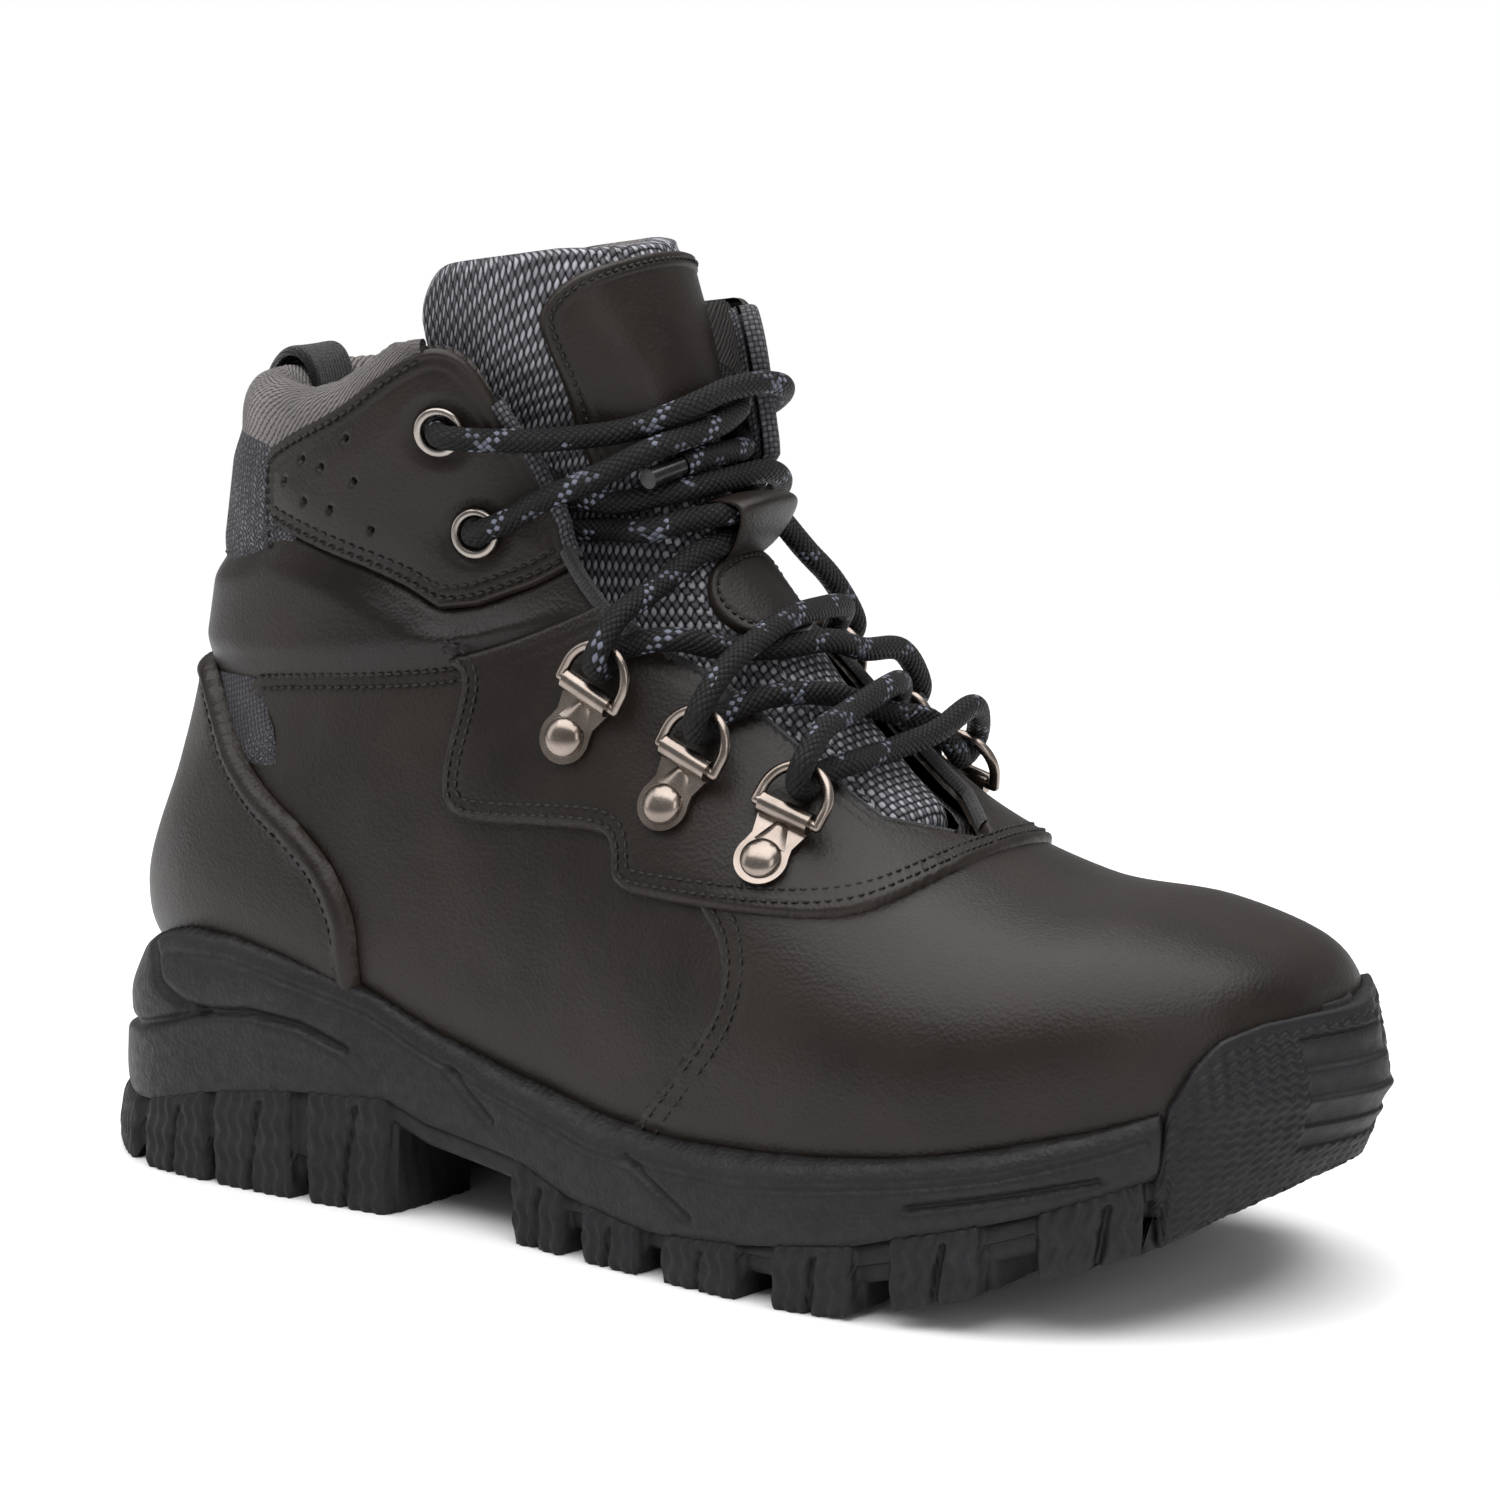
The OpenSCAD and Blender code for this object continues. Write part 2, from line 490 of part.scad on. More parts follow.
// The hole between the upper's turned-in edges, in plan
module lasting_hole(inset) {
    rows = [for (i = [0 : 39]) sole_row(i / 3)];
    inner = [for (r = rows) if (r[0] > -98 && r[0] < 94) r];
    linear_extrude(41)
        polygon(concat([for (r = inner) [r[0], r[1] + inset]],
                       [for (i = [len(inner) - 1 : -1 : 0]) [inner[i][0], inner[i][2] - inset]]));
}
module shank() {
    piece("#9a9da2")
        loft([for (i = [0 : 10])
            let (x = -72 + 8.5 * i, f = feather(x) + 0.3)
            [[x, -7, f], [x, -7, f + 1.2], [x, 7, f + 1.2], [x, 7, f]]]);
}
module insole_board() {
    piece("#8a7a62")
        resize([0, 0, 0])
            intersection() {
                floor_slab(1.7, 1.7 + board_t, -86, 101, 60);
                upper_solid(function(s, a) -leather_t - 0.3, 1, 11, 1, 24);
            }
}
module footbed() {
    piece("#3a3b3f")
        resize([0, 0, 0])
            intersection() {
                floor_slab(6, 6 + footbed_t, -98, 98, 60);
                upper_solid(function(s, a) -lining_depth(s, a) - lining_t - 1.2, 1.5, 11, 1, 24);
            }
}

// ---- upper ----
module vamp() {
    piece("#2c2a28")
        resize([0, 0, 0])
            difference() {
                both_sides()
                    panel(VAMP, [], skin_out, skin_in, 0, 7, 1.5, 14);
                lasting_hole(16);
                all_rivet_holes();
            }
}
module quarter_half(first) {
    difference() {
        panel(QUARTER, [VAMP], skin_out, skin_in, 5, 12, 1.5, 14);
        lasting_hole(16);
        rivet_holes(first);
    }
}
module quarter_lateral() {
    piece("#2c2a28")
        resize([0, 0, 0])
            quarter_half(0);
}
module quarter_medial() {
    piece("#2c2a28")
        resize([0, 0, 0])
            medial_side()
                quarter_half(3);
}
module heel_mesh() {
    piece("#5c5f66")
        resize([0, 0, 0])
            difference() {
                both_sides()
                    panel(MESH_BACK, [QUARTER], skin_out, skin_in, 7, 13, 1.5, 14);
                lasting_hole(16);
            }
}
module ankle_band() {
    piece("#2c2a28")
        resize([0, 0, 0])
            both_sides()
                panel(BAND, [QUARTER, MESH_BACK], skin_out, skin_in, 7, 14, 1.5, 14);
}
function cuff_front() = $side == 0 ? CUFF_FRONT : CUFF_FRONT_MEDIAL;
module cuff_half() {
    difference() {
        panel(concat(CUFF_BACK, cuff_front()), [QUARTER, BAND], skin_out, skin_in, 8, 15, 2, 14);
        eyelet_holes($side * 2);
        for (p = PERFS)
            translate([p[0], -20, p[1]])
                rotate([90, 0, 0])
                    cylinder(d = perf_d, h = 40, $fn = 10);
    }
}
module cuff_lateral() {
    piece("#2c2a28")
        resize([0, 0, 0])
            cuff_half();
}
module cuff_medial() {
    piece("#2c2a28")
        resize([0, 0, 0])
            medial_side()
                cuff_half();
}
module back_panel() {
    piece("#5c5f66")
        resize([0, 0, 0])
            both_sides()
                panel(BACK, [CUFF_BACK, BAND], skin_out, skin_in, 10, 15, 1.5, 14);
}
module heel_counter() {
    piece("#2c2a28")
        resize([0, 0, 0])
            both_sides()
                panel(COUNTER, [], over_out, over_in, 7, 13, 1.5, 14);
}
module facing() {
    piece("#2c2a28")
        resize([0, 0, 0])
            difference() {
                both_sides()
                    panel(FACING, [], over_out, over_in, 3.5, 9, 2.5, 14);
                all_rivet_holes();
            }
}
module heel_stiffener() {
    piece("#b9b2a0")
        resize([0, 0, 0])
            both_sides()
                panel(STIFFENER, [], function(s, a) -leather_t - 0.7,
                      function(s, a) -leather_t - 1.8, 7, 13, 1, 12);
}
module toe_puff() {
    piece("#b9b2a0")
        resize([0, 0, 0])
            both_sides()
                panel(PUFF, [], function(s, a) -leather_t - 0.5,
                      function(s, a) -leather_t - 1.6, 0.3, 4.5, 1, 12);
}
module lining() {
    piece("#77716f")
        resize([0, 0, 0])
            difference() {
                both_sides()
                    panel(concat(LINING_BACK, cuff_front()), [TRIM], lining_out, lining_in,
                          0.3, 15, 1, 10);
                lasting_hole(16);
                for (side = [0, 1])
                    mirror([0, side, 0]) {
                        rivet_holes(3 * side, 3.1, 12);
                        eyelet_holes(2 * side, 4.3, 14);
                    }
            }
}
module collar_foam() {
    piece("#c9c4b4")
        resize([0, 0, 0])
            both_sides()
                panel(FOAM, [], function(s, a) -leather_t - 0.5,
                      function(s, a) min(-leather_t - 0.7, 0.7 - lining_depth(s, a)), 9, 15, 1, 14);
}
module collar_trim() {
    piece("#77716f")
        resize([0, 0, 0])
            both_sides()
                panel(TRIM, [concat(CUFF_BACK, CUFF_FRONT), BACK], skin_out, lining_in, 11, 15, 2, 14);
}
module binding_half() {
    steps = 14;
    sheet([for (i = [0 : steps]) let (s = 8 + 5 * i / steps) [s, throat(s) - 3.2 - $side, throat(s) - 1.2 - $side]],
          2, function(s, a) lift(s, a) - 0.1,
          function(s, a) lift(s, a) - leather_t - 0.8);
}
module binding_lateral() {
    piece("#77716f")
        binding_half();
}
module binding_medial() {
    piece("#77716f")
        medial_side()
            binding_half();
}
module pull_tab() {
    piece("#151515")
        translate([0, 5.5, 0])
            rotate([90, 0, 0])
                linear_extrude(11)
                    polygon([[-91.3, 124], [-90, 124], [-88.9, 136.2], [-87.8, 137.3], [-78.2, 137.3],
                             [-77.4, 136.4], [-77.6, 128], [-76.4, 128], [-76.2, 137],
                             [-77.6, 138.5], [-88.4, 138.5], [-90.1, 136.8]]);
}

// ---- tongue ----
module tongue_half(outer_d, inner_d, s0, s1, side, rows, n) {
    intersection() {
        sheet([for (i = [0 : rows]) let (s = s0 + (s1 - s0) * i / rows)
                  [s, 0, opening(s) + side * ease((s - 5) / 1.5)]],
              n, outer_d, inner_d);
        side_cut(TONGUE);
    }
}
function pad_depth(s, a) =
    let (t = a / opening(s))
    2 + (tongue_pad - 2) * (1 - ease((t - 0.7) / 0.6)) * ease((s - 5) / 1.5);
module tongue() {
    piece("#5c5f66")
        resize([0, 0, 0])
            both_sides()
                tongue_half(function(s, a) -tongue_depth(s, a),
                            function(s, a) -tongue_depth(s, a) - 1.2, 5.25, 14.5, 9, 14, 8);
}
module tongue_padding() {
    piece("#3d3d42")
        resize([0, 0, 0])
            both_sides()
                tongue_half(function(s, a) -tongue_depth(s, a) - 1.8,
                            function(s, a) -tongue_depth(s, a) - 1.8 - pad_depth(s, a),
                            5.6, 14.4, 7, 10, 6);
}
module tongue_patch() {
    piece("#2c2a28")
        resize([0, 0, 0])
            both_sides()
                sheet([for (s = [9.8, 10.2, 10.8, 11.4, 12, 12.6, 13, 13.3, 13.5, 13.6])
                          [s, 0, lookup(s, [[9.8, 34], [10.2, 37], [13, 43], [13.3, 39],
                                            [13.5, 33], [13.6, 25]])]],
                      5, function(s, a) 1.3 - tongue_depth(s, a),
                      function(s, a) 0.3 - tongue_depth(s, a));
}
module keeper_loop() {
    piece("#2c2a28")
        resize([0, 0, 0])
            both_sides()
                sheet([for (i = [0 : 12]) [7.78 + 0.72 * i / 12, 0, 6.5]], 2,
                      function(s, a) 1.5 + keeper_rise(s) - tongue_depth(s, 0),
                      function(s, a) 0.3 + keeper_rise(s) - tongue_depth(s, 0));
}
function keeper_rise(s) = 9.6 * pow(max(0, sin(180 * (s - 7.78) / 0.72)), 0.5);
module keeper_tab() {
    piece("#2c2a28")
        resize([0, 0, 0])
            both_sides()
                sheet([for (r = [[6.92, 5], [6.97, 11], [7.1, 16], [7.3, 19], [7.55, 20], [7.74, 18]])
                          [r[0], 0, r[1]]],
                      4, function(s, a) 1.4 - tongue_depth(s, a),
                      function(s, a) 0.2 - tongue_depth(s, a));
}
module gusset_half() {
    steps = 12;
    from_tongue = function(s, a)
        let (t = (a - opening(s) - 10) / 14)
        -(tongue_depth(s, a) + 0.3) * (1 - t) - (lining_depth(s, a) + lining_t + 1.1) * t;
    sheet([for (i = [0 : steps])
              let (s = 6.6 + 3 * i / steps) [s, opening(s) + 10, opening(s) + 24]],
          4, from_tongue, function(s, a) from_tongue(s, a) - 0.7);
}
module gusset_lateral() {
    piece("#3d3d42")
        gusset_half();
}
module gusset_medial() {
    piece("#3d3d42")
        medial_side()
            gusset_half();
}

// ---- ring plates, rings, rivets and eyelets ----
module plate() {
    difference() {
        union() {
            cylinder(r = 4.4, h = plate_t, $fn = 48);
            linear_extrude(plate_t)
                polygon([[0, -4.4], [3.4, -3.7], [curl_x - 1.6, -curl_half], [curl_x, -curl_half],
                         [curl_x, curl_half], [curl_x - 1.6, curl_half], [3.4, 3.7], [0, 4.4]]);
            translate([curl_x, curl_half, curl_r])
                rotate([90, 0, 0])
                    cylinder(r = curl_r, h = 2 * curl_half, $fn = 40);
        }
        translate([curl_x, curl_half + 1, curl_r])
            rotate([90, 0, 0])
                cylinder(r = wire_d / 2 + ring_clear, h = 2 * curl_half + 2, $fn = 40);
        translate([0, 0, -1])
            cylinder(r = 1.6, h = plate_t + 2, $fn = 24);
    }
}
module ring() {
    translate([curl_x, 0, curl_r])
        rotate([0, -ring_tilt, 0]) {
            translate([0, ring_r, 0])
                rotate([90, 0, 0])
                    cylinder(d = wire_d, h = 2 * ring_r, $fn = 32);
            for (side = [-1, 1])
                translate([0, side * ring_r, 0]) {
                    sphere(d = wire_d, $fn = 32);
                    rotate([0, 90, 0])
                        cylinder(d = wire_d, h = ring_leg, $fn = 32);
                }
            translate([ring_leg, 0, 0])
                rotate([0, 0, -90])
                    rotate_extrude(angle = 180, $fn = 48)
                        translate([ring_r, 0])
                            circle(d = wire_d, $fn = 32);
        }
}
module side_plate(k) {
    piece("#8d8984")
        mirror([0, k > 2 ? 1 : 0, 0])
            on_plate(k)
                plate();
}
module side_ring(k) {
    piece("#8d8984")
        mirror([0, k > 2 ? 1 : 0, 0])
            on_plate(k)
                ring();
}
module rivet() {
    translate([0, 0, -4.9])
        cylinder(r = 1.5, h = 4.9 + plate_t + 0.5, $fn = 24);
    translate([0, 0, plate_t + 0.03])
        intersection() {
            cylinder(r = 3.4, h = 3, $fn = 40);
            translate([0, 0, -2.8])
                sphere(r = 4.45, $fn = 48);
        }
}
module plate_rivets() {
    piece("#8d8984")
        for (k = [0 : 5])
            mirror([0, k > 2 ? 1 : 0, 0])
                on_plate(k)
                    rivet();
}
module rivet_washers() {
    piece("#8d8984")
        for (k = [0 : 5])
            mirror([0, k > 2 ? 1 : 0, 0])
                on_plate(k)
                    translate([0, 0, -5])
                        difference() {
                            cylinder(r = 2.8, h = 0.5, $fn = 32);
                            translate([0, 0, -1])
                                cylinder(r = 1.55, h = 2, $fn = 24);
                        }
}
module eyelet() {
    difference() {
        union() {
            translate([0, 0, 0.5])
                cylinder(r = 4.2, h = 0.6, $fn = 48);
            translate([0, 0, -4.1])
                cylinder(r = eyelet_r + 0.45, h = 4.7, $fn = 40);
        }
        translate([0, 0, -5])
            cylinder(r = eyelet_r, h = 8, $fn = 40);
    }
}
module eyelets() {
    piece("#8d8984")
        for (k = [0 : 3])
            mirror([0, k > 1 ? 1 : 0, 0])
                on_eyelet(k)
                    eyelet();
}
module eyelet_washers() {
    piece("#8d8984")
        for (k = [0 : 3])
            mirror([0, k > 1 ? 1 : 0, 0])
                on_eyelet(k)
                    translate([0, 0, -4.6])
                        difference() {
                            cylinder(r = 3.9, h = 0.5, $fn = 40);
                            translate([0, 0, -1])
                                cylinder(r = eyelet_r + 0.5, h = 2, $fn = 40);
                        }
}

// ---- lace ----
// Round bar along a path; the first side direction is carried along it
module tube(path, r, n) {
    last = len(path) - 1;
    along = [for (i = [0 : last])
        unit(unit(path[min(last, i + 1)] - path[min(last - 1, i)])
             + unit(path[max(1, i)] - path[max(0, i - 1)]))];
    across = [for (i = 0, u = unit(cross(along[0], [0, 0, 1])); i <= last; i = i + 1,
                   u = i <= last ? unit(u - along[i] * (u * along[i])) : u) u];
    loft([for (i = [0 : last])
        let (u = across[i], v = cross(u, along[i]))
        [for (j = [0 : n - 1]) path[i] + r * (u * cos(j * 360 / n) + v * sin(j * 360 / n))]]);
}
module lace() {
    piece("#1c1c20")
        tube(LACE, lace_d / 2, 8);
}
module aglet(tip, before) {
    v = unit(tip - before);
    translate(tip + 0.05 * v)
        rotate([0, acos(v[2]), atan2(v[1], v[0])])
            cylinder(d = aglet_d, h = aglet_l, $fn = 32);
}
module aglets() {
    piece("#1c1c20") {
        aglet(LACE[0], LACE[1]);
        aglet(LACE[len(LACE) - 1], LACE[len(LACE) - 2]);
    }
}

outsole();
midsole();
shank();
insole_board();
footbed();
vamp();
quarter_lateral();
quarter_medial();
heel_mesh();
heel_counter();
heel_stiffener();
toe_puff();
facing();
ankle_band();
cuff_lateral();
cuff_medial();
back_panel();
pull_tab();
lining();
collar_foam();
collar_trim();
binding_lateral();
binding_medial();
tongue();
tongue_padding();
tongue_patch();
gusset_lateral();
gusset_medial();
keeper_loop();
keeper_tab();
side_plate(0);  // plate_lateral_1
side_plate(1);  // plate_lateral_2
side_plate(2);  // plate_lateral_3
side_plate(3);  // plate_medial_1
side_plate(4);  // plate_medial_2
side_plate(5);  // plate_medial_3
side_ring(0);  // ring_lateral_1
side_ring(1);  // ring_lateral_2
side_ring(2);  // ring_lateral_3
side_ring(3);  // ring_medial_1
side_ring(4);  // ring_medial_2
side_ring(5);  // ring_medial_3
plate_rivets();
rivet_washers();
eyelets();
eyelet_washers();
lace();
aglets();
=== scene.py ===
import math

import bpy
import numpy as np
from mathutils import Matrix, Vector
from mathutils.kdtree import KDTree


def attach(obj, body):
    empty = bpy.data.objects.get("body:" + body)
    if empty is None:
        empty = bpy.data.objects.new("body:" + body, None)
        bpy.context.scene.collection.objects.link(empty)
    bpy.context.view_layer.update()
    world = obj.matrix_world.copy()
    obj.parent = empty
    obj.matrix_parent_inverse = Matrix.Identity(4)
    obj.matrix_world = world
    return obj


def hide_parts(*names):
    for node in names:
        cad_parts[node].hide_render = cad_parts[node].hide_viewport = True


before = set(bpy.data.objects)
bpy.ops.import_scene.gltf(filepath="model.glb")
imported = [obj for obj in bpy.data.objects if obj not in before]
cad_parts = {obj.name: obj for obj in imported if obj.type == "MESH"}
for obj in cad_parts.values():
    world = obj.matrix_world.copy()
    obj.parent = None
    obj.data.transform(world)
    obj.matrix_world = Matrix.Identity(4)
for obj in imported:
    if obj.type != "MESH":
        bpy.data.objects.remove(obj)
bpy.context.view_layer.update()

SHIFT = np.array([3.0, 0.0, 0.0])

# ---------------------------------------------------------------- shape of the upper, in mm
# As in the CAD: top x, top z, bottom x, bottom z, half widths, widest place, roundness
SECTIONS = np.array([
    [111, 43, 112, 33, 4, 11, 0.5, 2.2, 2], [108, 51.5, 109, 31, 12, 20.5, 0.62, 2.4, 3],
    [100.5, 57, 101.5, 29, 24.5, 30, 0.65, 2.7, 4], [84, 61, 84, 26, 36, 37, 0.68, 2.6, 4.5],
    [62, 63, 60, 21, 43, 43, 0.7, 2.3, 4.5], [42, 71, 34, 18, 43, 43, 0.72, 2.2, 4.5],
    [27, 84, 6, 18, 40, 40, 0.74, 2.1, 4.5], [14, 100, -24, 22, 36, 36, 0.74, 2.1, 4],
    [3, 114, -60, 28, 34, 34, 0.7, 2.1, 3.4], [-1.5, 125, -99, 33, 32, 32, 0.62, 2.1, 2.8],
    [-2.5, 132, -111, 43, 30, 30, 0.55, 2.1, 2.3], [-4, 139, -105, 64, 29, 29, 0.53, 2.1, 2.1],
    [-6.5, 146, -97.5, 86, 31, 31, 0.52, 2.1, 2.1], [-10, 154, -92.5, 108, 33, 33, 0.5, 2.1, 2.1],
    [-14, 163, -88, 130, 35, 35, 0.5, 2.1, 2.1], [-18, 172, -86, 152, 36, 36, 0.5, 2.1, 2.1]])
THROAT = np.array([[4.6, 0], [5.2, 16], [6.2, 22], [6.8, 27], [7.4, 33], [8.2, 38], [9.6, 41],
                   [11.4, 50], [12.7, 57], [15, 62]])
THROAT_START = 4.62
THROAT_MEDIAL = np.array([[4.6, 0], [5.2, 16], [6.2, 22], [6.8, 27], [7.4, 33], [8, 33],
                          [9, 23], [13, 22], [15, 26]])


def ease(t):
    c = np.clip(t, 0, 1)
    return c * c * (3 - 2 * c)


def interp(x, table):
    table = np.asarray(table, float)
    return np.interp(x, table[:, 0], table[:, 1])


def unit(v):
    return v / np.maximum(np.linalg.norm(v, axis=-1, keepdims=True), 1e-9)


def spline(table, s):
    """Point at parameter s of the smooth curve through the rows of table."""
    n = len(table)
    s = np.asarray(s, float)
    i = np.clip(np.floor(s).astype(int), 0, n - 2)
    t = (s - i)[..., None]
    a, b = table[np.maximum(i - 1, 0)], table[i]
    c, d = table[i + 1], table[np.minimum(i + 2, n - 1)]
    return 0.5 * (2 * b + (c - a) * t + (2 * a - 5 * b + 4 * c - d) * t * t
                  + (3 * b - a - 3 * c + d) * t * t * t)


def lengths(P, axis=0):
    """Running length along one axis of a row or a grid of points."""
    step = np.linalg.norm(np.diff(P, axis=axis, prepend=P.take([0], axis)), axis=-1)
    return np.cumsum(step, axis)


def at_lengths(at, run, P):
    """The points of P, whose running length is run, at other lengths."""
    return np.stack([np.interp(at, run, c) for c in P.T], -1)


def flat_of(P, swap=False):
    """The flat position of a grid of points, across and along, in mm."""
    both = [lengths(P, 1), lengths(P, 0)]
    return np.stack(both[::-1] if swap else both, -1).reshape(-1, 2)


def closed_spline(points, per):
    p = np.asarray(points, float)
    p = np.vstack([p[-1:], p, p[:2]])
    n = len(points)
    return np.vstack([spline(p[i:i + 4], 1 + np.arange(per) / per) for i in range(n)])


def oval(s, a):
    """Point on section s at angle a from its top, positive round the lateral side."""
    r = spline(SECTIONS, s)
    a = (np.asarray(a, float) + 180) % 360 - 180
    th = np.radians(np.abs(a))
    c, sn = np.cos(th), np.abs(np.sin(th))
    e = np.where(c >= 0, 2 / r[..., 7], 2 / r[..., 8])
    m = r[..., 6]
    ce = np.abs(c) ** e
    q = np.where(c >= 0, m * (1 - ce), m + (1 - m) * ce)
    y = np.where(a >= 0, -r[..., 4], r[..., 5]) * sn ** e
    return np.stack([r[..., 0] + (r[..., 2] - r[..., 0]) * q, y,
                     r[..., 1] + (r[..., 3] - r[..., 1]) * q], -1)


def outward(s, a):
    along = oval(np.minimum(15, s + 0.05), a) - oval(np.maximum(0, s - 0.05), a)
    return unit(np.cross(along, oval(s, a + 1.5) - oval(s, a - 1.5)))


def skin(s, a, d=0.0):
    """Point on the upper, moved outwards by d."""
    s, a = np.broadcast_arrays(np.asarray(s, float), np.asarray(a, float))
    return oval(s, a) + outward(s, a) * np.asarray(d)[..., None]


def opening(s):
    return interp(s, THROAT)


def throat(s, a):
    return np.where(a >= 0, interp(s, THROAT), interp(s, THROAT_MEDIAL))


def lift(s, a):
    """How far the medial ankle flap stands up from the upper."""
    return np.where(a < 0, 8 * ease((s - 8.2) / 1.2) * ease((60 - np.abs(a)) / 34), 0)


def lining_depth(s, a):
    z = oval(s, a)[..., 2]
    side = np.where(s < 5, 1, ease((np.abs(a) - opening(s) - 16) / 24))
    return 2.2 + side * (1.9 + 3.8 * ease((z - 72) / 33))


def tongue_depth(s, a):
    deep = interp(s, [[6, 4.6], [8.5, 9.5]])
    return 1 + (deep - 1) * ease((np.abs(a) / opening(s) - 0.35) / 0.9)


# ---------------------------------------------------------------- outlines in side view
def chaikin(points, times=2, closed=True):
    p = np.asarray(points, float)
    for _ in range(times):
        q = np.roll(p, -1, 0) if closed else p[1:]
        b = p if closed else p[:-1]
        r = np.empty((len(b) * 2, p.shape[1]))
        r[0::2], r[1::2] = 0.75 * b + 0.25 * q, 0.25 * b + 0.75 * q
        p = r if closed else np.vstack([p[:1], r, p[-1:]])
    return p


def inside_distance(x, z, poly):
    """Signed distance to a closed outline, positive inside."""
    shape = x.shape
    pt = np.stack([x.ravel(), z.ravel()], -1)
    best = np.full(len(pt), 1e9)
    odd = np.zeros(len(pt), bool)
    for p, q in zip(poly, np.roll(poly, -1, 0)):
        e, w = q - p, pt - p
        t = np.clip((w @ e) / max(e @ e, 1e-9), 0, 1)
        best = np.minimum(best, ((w - t[:, None] * e) ** 2).sum(1))
        hit = (p[1] > pt[:, 1]) != (q[1] > pt[:, 1])
        if e[1]:
            odd ^= hit & (pt[:, 0] < p[0] + e[0] * (pt[:, 1] - p[1]) / e[1])
    return (np.sqrt(best) * np.where(odd, 1, -1)).reshape(shape)


def line_distance(x, z, line):
    best = np.full(x.shape, 1e9)
    line = np.asarray(line, float)
    for p, q in zip(line[:-1], line[1:]):
        e = q - p
        t = np.clip(((x - p[0]) * e[0] + (z - p[1]) * e[1]) / (e @ e), 0, 1)
        best = np.minimum(best, np.hypot(x - p[0] - t * e[0], z - p[1] - t * e[1]))
    return best


VAMP = [[-3, 8], [5, 21], [16, 34], [23, 43], [24.5, 50], [22, 56], [15, 62], [20, 68],
        [34, 76], [40, 90], [130, 90], [130, 8]]
QUARTER = [[-100, 8], [-97, 40], [-90, 60], [-82, 78], [-75, 89], [-69, 90], [-54, 91.5],
           [-36, 93.5], [-25, 96.5], [-8, 104.5], [4, 114], [45, 100], [45, 8]]
MESH_BACK = [[-130, 8], [-130, 96], [-66, 96], [-66, 8]]
BAND = [[-130, 86], [-60, 86], [4, 100], [4, 124], [-10, 113], [-15, 110], [-20, 107],
        [-30, 103], [-37, 102], [-43, 105], [-51, 108], [-60, 111], [-69, 114], [-74, 111],
        [-86, 108], [-130, 107]]
CUFF_BACK = [[0, 92], [-69, 98], [-71, 108], [-71, 120], [-70, 126], [-65, 129], [-52, 135],
             [-44, 141], [-38, 144.5]]
CUFF_FRONT = [[-34, 145.2], [-31, 144], [-28.5, 141], [-26, 136], [0, 128], [4, 100]]
CUFF_FRONT_MEDIAL = [[-30, 147.5], [-20, 149.5], [-10, 149.5], [-5, 148], [20, 135], [20, 100]]
CUFF_LOW = [[-130, 90], [-72, 110], [-69, 114], [-60, 111], [-51, 108], [-43, 105], [-37, 102],
            [-30, 103], [-20, 107], [-15, 110], [-10, 113], [4, 124]]
BACK = [[-130, 102], [-64, 102], [-64, 128.5], [-75, 130.5], [-130, 131]]
COUNTER = [[-130, 30], [-130, 88.3], [-92, 88], [-87, 87.5], [-79, 76.5], [-72, 70], [-62, 64],
           [-56, 59], [-51.5, 52], [-50, 46], [-50.5, 30]]
FACING = [[-36, 94], [-30.5, 92], [-31.5, 85], [-33, 78], [-33, 72.5], [-31, 69.5],
          [-27, 68.3], [-10, 69.3], [-1.5, 69.3], [0.5, 67], [1, 62.5], [3.5, 60.6], [8, 60.2],
          [20, 59.6], [36, 59.3], [44, 60.2], [49, 62.5], [53.5, 66], [56, 75], [45, 90],
          [-4, 110], [-8, 104.5], [-25, 96.8]]
TONGUE = [[60, 60], [-60, 60], [-60, 144], [-47.5, 146], [-47, 150], [-43.5, 154],
          [-36, 157.5], [-25, 160.5], [-14, 163], [60, 164]]
PERFS = [[-51, 130], [-60, 126], [-56, 125], [-64, 122], [-60, 119], [-50, 123], [-55, 118],
         [-48, 115]]
COLLAR_LOW = [[-130, 129], [-75, 129], [-67, 127], [-52, 133], [-44, 139], [-38, 144]]
COLLAR_TOP = [[-130, 136], [-77, 137], [-70, 136.5], [-62, 135.5], [-55, 137], [-48, 140.5],
              [-42, 144.4], [-38, 145]]

# ---------------------------------------------------------------- materials


def rgb(r, g, b):
    """Linear colour from an sRGB one in 0..255."""
    return tuple((c / 255) ** 2.2 for c in (r, g, b)) + (1.0,)


